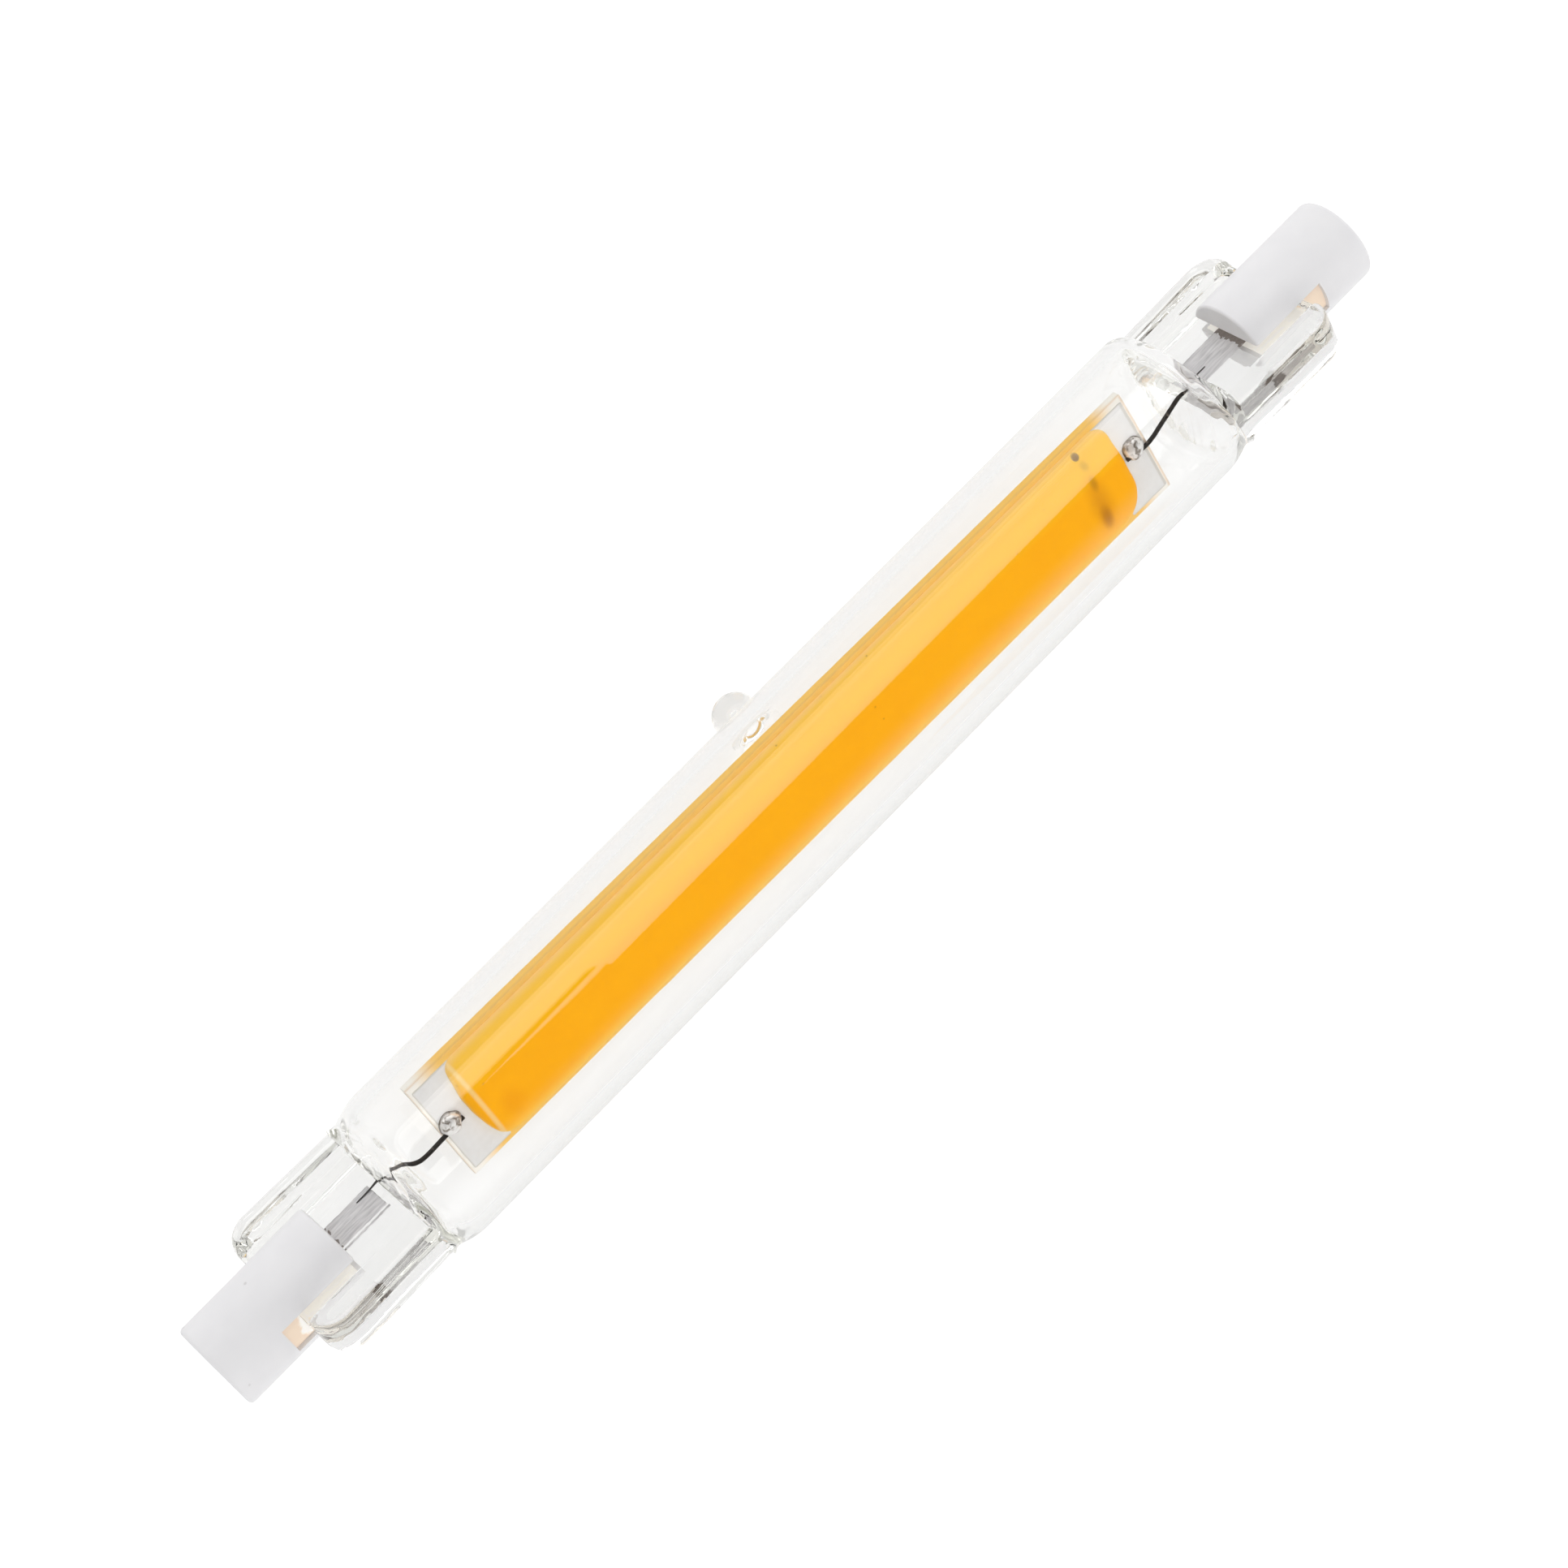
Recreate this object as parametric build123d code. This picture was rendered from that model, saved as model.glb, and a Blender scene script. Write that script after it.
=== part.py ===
from build123d import *
import math
import os

# Double-ended linear LED lamp of the 118 mm class. All sizes are in millimetres.
# It lies on its side: X is the long axis, Z is up, and the origin is on the long axis at mid-length.
# It rests on the glass tube and on the sealed-off tip, which touches the table beside the tube.

os.makedirs("parts", exist_ok=True)

# Whole lamp
overall_length = 117.6
contact_recess = 1.7  # from each cap's end down to the contact's face
contact_spacing = overall_length - 2 * contact_recess  # the gauge length of the lamp's class, 114.2

# Glass tube, with its shoulders and the cavity inside
tube_d = 13.2
tube_wall = 1.0
left_shoulder = 3.25  # from the straight tube to the seal
right_shoulder = 2.05
shoulder_wall = 0.55  # glass left between the cavity's end and the seal's flute
cavity_end_height = 0.6  # the pinched end of the cavity is a thin wedge
shoulder_boxiness = 4  # 2 is an ellipse, and more is boxier
cavity_boxiness = 3
boxing_lateness = 8  # a shoulder stays round until shortly before its end
shoulder_steps = (0, 0.3, 0.55, 0.75, 0.9, 1)  # where outlines are drawn along a shoulder
shoulder_roundness = 0.97  # 1 would end the shoulder square to the axis
outline_points = 24  # points on each outline across a shoulder
loft_inset = 0.01  # the shoulder starts this much inside the tube's surface

# Press seals: an H section that the two moulding jaws leave
seal_length = 10.5
seal_rim_height = 3.96
seal_web = 2.4
seal_spread = 0.55  # the pressed glass stands this much wider than the tube on each side
seal_flare = 0.27  # each side widens by this much towards the outer end
seal_corner_r = 2.4
seal_edge_r = 0.8
flute_slope = 0.45  # how far each flank of the flute leans out
seal_turn = -43.0  # degrees about the long axis

# Sealed-off tip of the exhaust tube
tip_x = 0.45
tip_ball_d = 3.68
tip_stand = 1.5  # from the tube's surface to the ball's centre
tip_neck_d = 2.9
tip_foot_d = 4.4
tip_mouth_d = 3.6
tip_channel_d = 0.8

# Ceramic caps
cap_d = 7.2
cap_jaw_d = 7.3  # the jaws flare a little towards their open end
cap_length = 11.9
cap_edge_r = 0.4
cap_jaw_r = 0.25
slot_depth = 7.0
seal_end_gap = 1.65  # from the seal's end to the slot's bottom
cement_gap = 0.12  # cement on each side of the seal's web
flute_cap_gap = 1.46  # from the cap's jaw to the rim beside it
recess_d = 4.6
recess_chamfer = 0.2

# Contacts, riveted in the caps
contact_d = 3.3
contact_head = 0.7
contact_bevel = 0.15
contact_shank_d = 1.3
contact_shank = 1.2
contact_gap = 0.05

# Cement between cap and seal
cement_inset = 0.35  # how far the cement stays back from the cap's surface

# Foils and leads
foil_width = 2.95
foil_thickness = 0.04
foil_start = 0.75  # from the flute's end to the foil
foil_end = 1.25  # from the foil to the seal's outer end
lead_overlap = 1.4  # how far each lead lies on its foil
outer_lead_d = 0.5
inner_lead_d = 0.4
lead_bend_x = 1.0  # the inner lead bends this far inside the cavity's end

# Ceramic light board
board_edge_gap = 0.8  # from the board's edge to the glass bore
board_thickness = 0.78
board_left_gap = 5.35  # from the board's end to the seal
board_right_gap = 5.2
board_y = -0.03
board_turn = 39.1  # degrees about the long axis
board_skew = -0.7  # degrees in plan

# Printed conductors on the board
pad_length = 3.6
pad_thickness = 0.03
pad_end_margin = 0.25
pad_side_margin = 0.45
land_gap = 0.12
land_width = 0.7

# Light-emitting chips, in rows from the left pad to the feed chips
chip_rows = 3
chip_count = 22  # in each row
chip_row_pitch = 2.3
chip_length = 0.9
chip_width = 0.5
chip_height = 0.15
row_end_gap = 0.4  # from the last land to the feed chips

# Chips that feed them
rectifier_length = 1.1
rectifier_width = 2.2
rectifier_height = 0.45
rectifier_y = -1.25
driver_length = 0.9
driver_width = 1.6
driver_height = 0.4
driver_y = 1.1
resistor_length = 0.5
resistor_width = 0.6
resistor_height = 0.3
resistor_y = 3.75
feed_chip_margin = 3.4  # from the gel's right end to the middle of these chips

# Phosphor gel over the chips
gel_left_margin = 2.65
gel_right_margin = 2.45
gel_side_margin = 0.4
gel_flank = 0.35
gel_crown = 0.75
gel_corner_r = 2.0

# Solder on the two pads
left_solder_d = 1.76
right_solder_d = 1.76
solder_height = 0.75
solder_shoulder = 0.72  # where the dome's curve passes, as a share of its radius and height
solder_flat_r = 0.15  # small flat at the dome's top
left_solder_inset = 1.0  # from the board's end to the middle of the joint
right_solder_inset = 1.25
left_solder_y = 0.35
right_solder_y = 0.55
lead_tail = 0.8  # how far the lead runs on past the middle of the joint
lead_landing = 1.3  # how far before the middle of the joint the lead comes down
lead_lift = 0.06  # solder under the lead

# Places that follow from the sizes above
half_length = overall_length / 2
contact_x = contact_spacing / 2
cap_inner_x = half_length - cap_length
slot_bottom_x = cap_inner_x + slot_depth
seal_outer_x = slot_bottom_x - seal_end_gap
seal_inner_x = seal_outer_x - seal_length
cavity_end_x = seal_inner_x - shoulder_wall
tube_r = tube_d / 2
bore_r = tube_r - tube_wall
seal_half_width = tube_r + seal_spread
seal_neck_half_width = seal_half_width - seal_flare
flute_half_width = cap_jaw_d / 2 + flute_cap_gap
slot_width = seal_web + 2 * cement_gap
tip_centre = tube_r + tip_stand
tip_turn = math.degrees(math.acos((tube_r - tip_ball_d / 2) / tip_centre))
foil_inner_x = seal_inner_x + foil_start
foil_outer_x = seal_outer_x - foil_end
board_left_x = -(seal_inner_x - board_left_gap)
board_right_x = seal_inner_x - board_right_gap
board_half_width = bore_r - board_edge_gap
board_top = board_thickness / 2
pad_top = board_top + pad_thickness
gel_left_x = board_left_x + gel_left_margin
gel_right_x = board_right_x - gel_right_margin
gel_half_width = board_half_width - gel_side_margin
feed_chip_x = gel_right_x - feed_chip_margin
row_start_x = board_left_x + pad_end_margin + pad_length
row_end_x = feed_chip_x - rectifier_length / 2 - row_end_gap
chip_pitch = (row_end_x - row_start_x) / (chip_count + 1)


def at_end(piece, side):
    """Turns a piece drawn at the right-hand seal into place, at the right (1) or left (-1) end."""
    if side < 0:
        piece = mirror(piece, about=Plane.YZ)
    return Rot(seal_turn, 0, 0) * piece


def on_board(piece):
    """Turns a piece drawn flat on the board into the board's tilted place."""
    return Pos(0, board_y, 0) * Rot(0, 0, board_skew) * Rot(board_turn, 0, 0) * piece


def block(x_range, y_range, z_range):
    """A rectangular block between the given limits."""
    size = [high - low for low, high in (x_range, y_range, z_range)]
    middle = [(high + low) / 2 for low, high in (x_range, y_range, z_range)]
    return Pos(*middle) * Box(*size)


def rod(x_range, radius):
    """A round bar along the lamp's axis."""
    length = x_range[1] - x_range[0]
    return Pos((x_range[0] + x_range[1]) / 2, 0, 0) * Rot(0, 90, 0) * Cylinder(radius, length)


def turned(points):
    """A solid turned about the lamp's axis from a profile of (x, radius) points."""
    return revolve(make_face(Polyline(*points, close=True)), axis=Axis.X)


def across(x, half_width, half_height, squareness):
    """A closed outline across the lamp. Squareness 2 is an ellipse, and more of it is boxier."""
    points = []
    for i in range(outline_points):
        angle = 2 * math.pi * i / outline_points
        c = math.cos(angle)
        s = math.sin(angle)
        y = half_width * math.copysign(abs(c) ** (2 / squareness), c)
        z = half_height * math.copysign(abs(s) ** (2 / squareness), s)
        points.append((x, y, z))
    return Face(Wire([Edge.make_spline(points, periodic=True)]))


def shoulder(x_range, radius, end_half_width, end_half_height, end_squareness):
    """The softened tube drawn down flat: round at its first end, nearly a slot at its last."""
    sections = []
    for t in shoulder_steps:
        x = x_range[0] + t * (x_range[1] - x_range[0])
        half_width = radius - (radius - end_half_width) * t ** 2
        rounding = math.sqrt(1 - shoulder_roundness * t ** 2)
        half_height = end_half_height + (radius - end_half_height) * rounding
        squareness = 2 + (end_squareness - 2) * t ** boxing_lateness
        sections.append(across(x, half_width, half_height, squareness))
    return loft(sections)


def press_seal():
    """The flat H-shaped seal at the right-hand end, with its web across Z."""
    start_x = seal_inner_x - shoulder_wall
    plan = Polyline(
        (start_x, -seal_neck_half_width),
        (seal_outer_x, -seal_half_width),
        (seal_outer_x, seal_half_width),
        (start_x, seal_neck_half_width),
        close=True,
    )
    plate = extrude(make_face(plan), amount=seal_rim_height / 2, both=True)
    corners = plate.edges().filter_by(Axis.Z).sort_by(Axis.X)[-2:]
    plate = fillet(corners, seal_corner_r)
    top = plate.faces().sort_by(Axis.Z)[-1].edges().sort_by(Axis.X)[1:]
    bottom = plate.faces().sort_by(Axis.Z)[0].edges().sort_by(Axis.X)[1:]
    plate = fillet(top + bottom, seal_edge_r)
    flute = Plane.YZ.offset(seal_inner_x) * make_face(
        Polyline(
            (-flute_half_width + flute_slope, seal_web / 2),
            (flute_half_width - flute_slope, seal_web / 2),
            (flute_half_width + flute_slope, seal_rim_height),
            (-flute_half_width - flute_slope, seal_rim_height),
            close=True,
        )
    )
    cutter = extrude(flute, amount=2 * seal_length)
    return plate - cutter - Rot(180, 0, 0) * cutter


def exhaust_tip():
    """The ball-ended stub outside the tube, drawn straight down at the middle."""
    foot_r = tip_foot_d / 2
    neck_r = tip_neck_d / 2
    foot_z = -tube_r + tube_wall / 4
    neck_z = -tube_r - tip_stand / 2
    foot = Polyline((0, -bore_r), (foot_r, -bore_r), (foot_r, foot_z))
    flare = ThreePointArc(
        (foot_r, foot_z),
        (neck_r + (foot_r - neck_r) / 4, -tube_r - tip_stand / 8),
        (neck_r, neck_z),
    )
    neck = Polyline((neck_r, neck_z), (neck_r, -tip_centre), (0, -tip_centre), (0, -bore_r))
    stub = revolve(Plane.XZ * make_face(foot + flare + neck), axis=Axis.Z)
    return stub + Pos(0, 0, -tip_centre) * Sphere(tip_ball_d / 2)


def exhaust_hole():
    """The trumpet-shaped hole from the bore into the tip."""
    top = -bore_r + tube_wall / 2
    wide = Line((0, top), (tip_mouth_d / 2, top))
    throat = ThreePointArc(
        (tip_mouth_d / 2, top),
        (tip_channel_d, -tube_r + tube_wall / 8),
        (tip_channel_d / 2, -tip_centre),
    )
    inner = Polyline((tip_channel_d / 2, -tip_centre), (0, -tip_centre - tip_channel_d / 2), (0, top))
    return revolve(Plane.XZ * make_face(wide + throat + inner), axis=Axis.Z)


def place_tip(piece):
    """Turns the tip about the lamp's axis until its ball touches the table with the tube."""
    return Rot(tip_turn, 0, 0) * Pos(tip_x, 0, 0) * piece


def foil():
    """The thin foil strip that carries the current through the right-hand seal."""
    half = foil_width / 2
    return block((foil_inner_x, foil_outer_x), (-half, half), (-foil_thickness / 2, foil_thickness / 2))


def outer_lead():
    """The stiff wire from the foil's outer end to the contact's shank."""
    seat = foil_thickness / 2 + outer_lead_d / 2
    end_x = contact_x - contact_head - contact_shank
    return Pos(0, 0, seat) * rod((foil_outer_x - lead_overlap, end_x), outer_lead_d / 2)


def inner_lead(side, board_x, board_y_on_top):
    """The soft wire from a foil's inner end, through the cavity, to the pad on the board."""
    seat = foil_thickness / 2 + inner_lead_d / 2
    height = pad_top + lead_lift + inner_lead_d / 2
    in_seal = Rot(seal_turn, 0, 0) * Pos(side * (foil_inner_x + lead_overlap), 0, seat)
    bend = Rot(seal_turn, 0, 0) * Pos(side * (cavity_end_x - lead_bend_x), 0, seat)
    landing = on_board(Pos(board_x + side * lead_landing, board_y_on_top, height))
    tail = on_board(Pos(board_x - side * lead_tail, board_y_on_top, height))
    points = [place.position for place in (in_seal, bend, landing, tail)]
    runs = [(b - a).length for a, b in zip(points, points[1:])]
    bends = [2 * min(runs[0], runs[1]), min(runs[1], runs[2])]
    path = FilletPolyline(*points, radius=bends)
    start = Plane(origin=path @ 0, z_dir=path % 0)
    return sweep(start * Circle(inner_lead_d / 2), path=path)


def ceramic_cap():
    """The round ceramic cap: two jaws that straddle the seal's web, and the contact's recess."""
    recess_r = recess_d / 2
    pocket_r = contact_d / 2 + contact_gap
    shank_r = contact_shank_d / 2 + contact_gap
    head_x = contact_x - contact_head
    shank_x = head_x - contact_shank
    body = turned(
        [
            (cap_inner_x, 0),
            (cap_inner_x, cap_jaw_d / 2),
            (slot_bottom_x, cap_d / 2),
            (half_length, cap_d / 2),
            (half_length, recess_r + recess_chamfer),
            (half_length - recess_chamfer, recess_r),
            (contact_x, recess_r),
            (contact_x, pocket_r),
            (head_x, pocket_r),
            (head_x, shank_r),
            (shank_x, shank_r),
            (shank_x, 0),
        ]
    )
    end_face = body.faces().sort_by(Axis.X)[-1]
    body = fillet(end_face.outer_wire().edges(), cap_edge_r)
    jaw_face = body.faces().sort_by(Axis.X)[0]
    body = fillet(jaw_face.edges(), cap_jaw_r)
    half_slot = slot_width / 2
    slot = block((cap_inner_x - cap_d, slot_bottom_x), (-cap_d, cap_d), (-half_slot, half_slot))
    return body - slot - outer_lead()


def contact():
    """The plated button at the bottom of the recess, with its hollow shank over the lead."""
    head_r = contact_d / 2
    shank_r = contact_shank_d / 2
    head_x = contact_x - contact_head
    shank_x = head_x - contact_shank
    button = turned(
        [
            (shank_x, 0),
            (shank_x, shank_r),
            (head_x, shank_r),
            (head_x, head_r),
            (contact_x - contact_bevel, head_r),
            (contact_x, head_r - 2 * contact_bevel),
            (contact_x, 0),
        ]
    )
    return button - outer_lead()


def cement():
    """The cement that fills the slot round the seal's web and behind its end."""
    radius = cap_d / 2 - cement_inset
    half_slot = slot_width / 2
    fill = rod((cap_inner_x + cement_inset, slot_bottom_x), radius)
    fill = fill & block((cap_inner_x, slot_bottom_x), (-radius, radius), (-half_slot, half_slot))
    return fill - press_seal() - outer_lead()


def row_y(row):
    """How far a row of chips lies from the board's middle line."""
    return (row - (chip_rows - 1) / 2) * chip_row_pitch


def about(middle, size):
    """The two limits of a length around its middle."""
    return (middle - size / 2, middle + size / 2)


def chips():
    """The bare light-emitting chips, face down across the gaps between the lands."""
    solids = []
    for row in range(chip_rows):
        y_range = about(row_y(row), chip_width)
        for i in range(chip_count):
            x_range = about(row_start_x + (i + 1) * chip_pitch, chip_length)
            solids.append(block(x_range, y_range, (pad_top, pad_top + chip_height)))
    return solids


def lands():
    """The printed lands that bridge from chip to chip, the first of each row from the left pad."""
    solids = []
    for row in range(chip_rows):
        y_range = about(row_y(row), land_width)
        for i in range(chip_count + 1):
            start = row_start_x + i * chip_pitch + (land_gap / 2 if i else 0)
            end = row_start_x + (i + 1) * chip_pitch - land_gap / 2
            solids.append(block((start, end), y_range, (board_top, pad_top)))
    return solids


def pad(side):
    """The printed end pad that the lead is soldered to."""
    end = board_right_x - pad_end_margin if side > 0 else board_left_x + pad_end_margin
    half = board_half_width - pad_side_margin
    return block(sorted((end, end - side * pad_length)), (-half, half), (board_top, pad_top))


def feed_chip(length, width, height, y):
    """A small packaged chip on the board, near the right-hand end of the gel."""
    return block(about(feed_chip_x, length), about(y, width), (board_top, board_top + height))


def gel(buried):
    """The domed phosphor gel, poured over everything on the board between the solder joints."""
    length = gel_right_x - gel_left_x
    half = gel_half_width
    plan = RectangleRounded(length, 2 * half, gel_corner_r)
    bar = extrude(Pos(gel_left_x + length / 2, 0, board_top) * plan, amount=gel_flank + gel_crown)
    side = board_top + gel_flank
    base = Polyline((-half, side), (-half, board_top), (half, board_top), (half, side))
    crown = ThreePointArc((half, side), (0, side + gel_crown), (-half, side))
    dome = extrude(Plane.YZ.offset(gel_left_x) * make_face(base + crown), amount=length)
    return (bar & dome) - buried


def solder(board_x, y, diameter, lead):
    """A domed solder joint on its pad, round the end of the lead."""
    radius = diameter / 2
    shoulder_r = solder_shoulder * radius
    shoulder_z = solder_shoulder * solder_height
    base = Line((0, 0), (radius, 0))
    side = ThreePointArc((radius, 0), (shoulder_r, shoulder_z), (solder_flat_r, solder_height))
    top = Polyline((solder_flat_r, solder_height), (0, solder_height), (0, 0))
    dome = revolve(Plane.XZ * make_face(base + side + top), axis=Axis.Z)
    return on_board(Pos(board_x, y, pad_top) * dome) - lead


left_joint_x = board_left_x + left_solder_inset
right_joint_x = board_right_x - right_solder_inset
left_lead = inner_lead(-1, left_joint_x, left_solder_y)
right_lead = inner_lead(1, right_joint_x, right_solder_y)

nodes = {}
for name, side in (("left", -1), ("right", 1)):
    nodes[name + "_foil"] = at_end(foil(), side)
    nodes[name + "_outer_lead"] = at_end(outer_lead(), side)
    nodes[name + "_contact"] = at_end(contact(), side)
    nodes[name + "_cap"] = at_end(ceramic_cap(), side)
    nodes[name + "_cement"] = at_end(cement(), side)
nodes["left_inner_lead"] = left_lead
nodes["right_inner_lead"] = right_lead

# The glass is blown, pressed and tipped off as one piece
straight = (-(seal_inner_x - left_shoulder), seal_inner_x - right_shoulder)
glass = rod(straight, tube_r)
cavity = rod(straight, bore_r)
for side, start_x in ((-1, -straight[0]), (1, straight[1])):
    outside = shoulder(
        (start_x - loft_inset, seal_inner_x),
        tube_r - loft_inset,
        seal_neck_half_width,
        seal_rim_height / 2,
        shoulder_boxiness,
    )
    inside = shoulder(
        (start_x - loft_inset, cavity_end_x),
        bore_r - loft_inset,
        seal_neck_half_width - tube_wall,
        cavity_end_height / 2,
        cavity_boxiness,
    )
    glass = glass + at_end(outside, side) + at_end(press_seal(), side)
    cavity = cavity + at_end(inside, side)
glass = glass + place_tip(exhaust_tip())
cavity = cavity + place_tip(exhaust_hole())
glass = glass - cavity
for name in ("left_foil", "right_foil", "left_outer_lead", "right_outer_lead"):
    glass = glass - nodes[name]
nodes["glass_envelope"] = glass - left_lead - right_lead

# The board and what is printed, bonded and soldered on it
board = block((board_left_x, board_right_x), (-board_half_width, board_half_width), (-board_top, board_top))
rectifier = feed_chip(rectifier_length, rectifier_width, rectifier_height, rectifier_y)
driver = feed_chip(driver_length, driver_width, driver_height, driver_y)
resistor = feed_chip(resistor_length, resistor_width, resistor_height, resistor_y)
buried = chips() + lands() + [rectifier, driver, resistor, pad(-1), pad(1)]
nodes["light_board"] = on_board(board)
nodes["left_pad"] = on_board(pad(-1))
nodes["right_pad"] = on_board(pad(1))
nodes["printed_lands"] = Compound([on_board(land) for land in lands()])
nodes["light_chips"] = Compound([on_board(chip) for chip in chips()])
nodes["rectifier_chip"] = on_board(rectifier)
nodes["driver_chip"] = on_board(driver)
nodes["series_resistor"] = on_board(resistor)
nodes["phosphor_gel"] = on_board(gel(buried))
nodes["left_solder"] = solder(left_joint_x, left_solder_y, left_solder_d, left_lead)
nodes["right_solder"] = solder(right_joint_x, right_solder_y, right_solder_d, right_lead)

for name, piece in nodes.items():
    export_step(piece, f"parts/{name}.step")
    print(name, round(piece.volume, 3))
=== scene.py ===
import math
import bpy
import numpy as np
from mathutils import Matrix, Vector, noise


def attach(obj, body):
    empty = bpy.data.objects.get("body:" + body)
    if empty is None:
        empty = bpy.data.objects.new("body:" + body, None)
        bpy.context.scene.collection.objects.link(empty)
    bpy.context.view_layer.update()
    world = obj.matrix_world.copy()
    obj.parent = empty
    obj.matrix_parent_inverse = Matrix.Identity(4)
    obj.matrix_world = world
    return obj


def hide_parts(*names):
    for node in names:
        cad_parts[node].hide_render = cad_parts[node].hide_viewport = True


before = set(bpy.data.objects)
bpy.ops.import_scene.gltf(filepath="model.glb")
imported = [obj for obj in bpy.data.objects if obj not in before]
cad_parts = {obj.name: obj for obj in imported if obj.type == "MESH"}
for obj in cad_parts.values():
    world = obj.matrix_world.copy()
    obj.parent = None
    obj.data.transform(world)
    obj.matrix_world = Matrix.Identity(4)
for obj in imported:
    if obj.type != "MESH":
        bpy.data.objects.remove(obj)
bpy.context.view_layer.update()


# The light board: a strip of fired alumina, 0.78 mm thick, snapped from a scribed plate.
# It is matt and a little see-through. The gel's orange light through it is painted into its colour
# along the gel's length, and painted shade, a darker orange-tan, lies along the top of its side and end
# faces.
mm = 0.001
board_left = -36.4
board_right = 36.55
board_half_width = 4.8
board_top = 0.39
board_bevel = 0.05
board_place = (
    Matrix.Translation((0, -0.03 * mm, 0))
    @ Matrix.Rotation(math.radians(-0.7), 4, "Z")
    @ Matrix.Rotation(math.radians(39.1), 4, "X")
)


def linear(code):
    """An sRGB hex value as linear red, green, blue and alpha."""
    parts = [int(code[i:i + 2], 16) / 255 for i in (1, 3, 5)]
    return [c / 12.92 if c <= 0.04045 else ((c + 0.055) / 1.055) ** 2.4 for c in parts] + [1.0]


def add(tree, kind, sockets=None, **settings):
    """Adds one node with its settings. Each socket takes a value, or a link from another node."""
    made = tree.nodes.new(kind)
    for name, value in settings.items():
        setattr(made, name, value)
    for name, value in (sockets or {}).items():
        if isinstance(value, bpy.types.NodeSocket):
            tree.links.new(value, made.inputs[name])
        else:
            made.inputs[name].default_value = value
    return made


def new_finish(name):
    """An empty material and its node tree."""
    material = bpy.data.materials.new(name)
    material.use_nodes = True
    material.node_tree.nodes.clear()
    return material, material.node_tree


def smudge(tree, place, middle, size, turn=0.0, softness=0.6):
    """A soft oval mark, 1 in its middle and 0 outside. It has half sizes in mm and a turn in degrees."""
    oval = add(
        tree,
        "ShaderNodeMapping",
        {
            "Vector": place,
            "Location": (*middle, 0),
            "Rotation": (0, 0, math.radians(turn)),
            "Scale": (*size, 1e6),
        },
        vector_type="TEXTURE",
    )
    reach = add(tree, "ShaderNodeVectorMath", {0: oval.outputs[0]}, operation="LENGTH")
    mark = add(
        tree,
        "ShaderNodeMapRange",
        {"Value": reach.outputs["Value"], "From Min": 1 - softness, "From Max": 1, "To Min": 1, "To Max": 0},
        interpolation_type="SMOOTHSTEP",
    )
    return mark.outputs[0]


def moulded(name, points, faces, place, material, stands_for):
    """One piece from points in mm in its own axes, put in its place. Its finish can read those points."""
    mesh = bpy.data.meshes.new(name)
    points = np.asarray(points, float)
    turned = np.array(place.to_3x3())
    placed = points * mm @ turned.T + np.array(place.translation)
    mesh.from_pydata(placed.tolist(), [], faces)
    mesh.validate()
    kept = mesh.attributes.new("own_mm", "FLOAT_VECTOR", "POINT")
    kept.data.foreach_set("vector", points.astype(np.float32).ravel())
    mesh.shade_smooth()
    mesh.materials.append(material)
    piece = bpy.data.objects.new(name, mesh)
    bpy.context.scene.collection.objects.link(piece)
    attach(piece, "root")
    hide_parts(*stands_for)
    return piece


def slab(outline, heights, insets):
    """A flat closed piece: its outline at each height, drawn in there by the inset."""
    count = len(outline)
    forward = np.roll(outline, -1, axis=0) - np.roll(outline, 1, axis=0)
    inward = np.stack([-forward[:, 1], forward[:, 0]], axis=1)
    inward /= np.linalg.norm(inward, axis=1, keepdims=True)
    points = [np.column_stack([outline + inward * i, np.full(count, z)]) for z, i in zip(heights, insets)]
    faces = [tuple(reversed(range(count)))]
    for k in range(len(heights) - 1):
        for i in range(count):
            j = (i + 1) % count
            faces.append((k * count + i, k * count + j, (k + 1) * count + j, (k + 1) * count + i))
    faces.append(tuple((len(heights) - 1) * count + i for i in range(count)))
    return np.vstack(points), faces


# The wavering edges come from noise vectors, which follow this seed, so each run makes the same ones.
noise.seed_set(5)


def rounded_plan(x_low, x_high, half_width, corner, step, waver):
    """A rectangle seen in plan, anticlockwise, with rounded corners and edges that waver a little."""
    points = []
    for x, y, start in (
        (x_high, -half_width, -90),
        (x_high, half_width, 0),
        (x_low, half_width, 90),
        (x_low, -half_width, 180),
    ):
        centre = Vector((x - math.copysign(corner, x - (x_low + x_high) / 2), y - math.copysign(corner, y)))
        for i in range(5):
            a = math.radians(start + 22.5 * i)
            points.append(centre + corner * Vector((math.cos(a), math.sin(a))))
    full = []
    for a, b in zip(points, points[1:] + points[:1]):
        number = max(1, round((b - a).length / step))
        full += [a.lerp(b, i / number) for i in range(number)]
    moved = [p + waver * Vector(noise.noise_vector(Vector((p.x * 1.3, p.y * 1.3, 4)))[:2]) for p in full]
    return np.array([tuple(p) for p in moved])


alumina, tree = new_finish("fired_alumina_scribed")
place_mm = add(tree, "ShaderNodeAttribute", attribute_name="own_mm")
across = add(tree, "ShaderNodeSeparateXYZ", {"Vector": place_mm.outputs["Vector"]})
along = add(tree, "ShaderNodeMath", {0: across.outputs["X"]}, operation="ABSOLUTE")
# Painted light: the gel's orange glow through the ceramic, painted over the gel's length, underside too.
gel_glow_reach = add(
    tree,
    "ShaderNodeMapRange",
    {"Value": along.outputs[0], "From Min": 33.0, "From Max": 35.8, "To Min": 1.0, "To Max": 0.0},
    interpolation_type="SMOOTHSTEP",
)
grain = add(tree, "ShaderNodeTexNoise", {"Vector": place_mm.outputs["Vector"], "Scale": 6.0, "Detail": 4.0})
pale = add(
    tree,
    "ShaderNodeMix",
    {0: grain.outputs["Fac"], 6: linear("#FFFBF2"), 7: linear("#F8F3EA")},
    data_type="RGBA",
)
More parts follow.
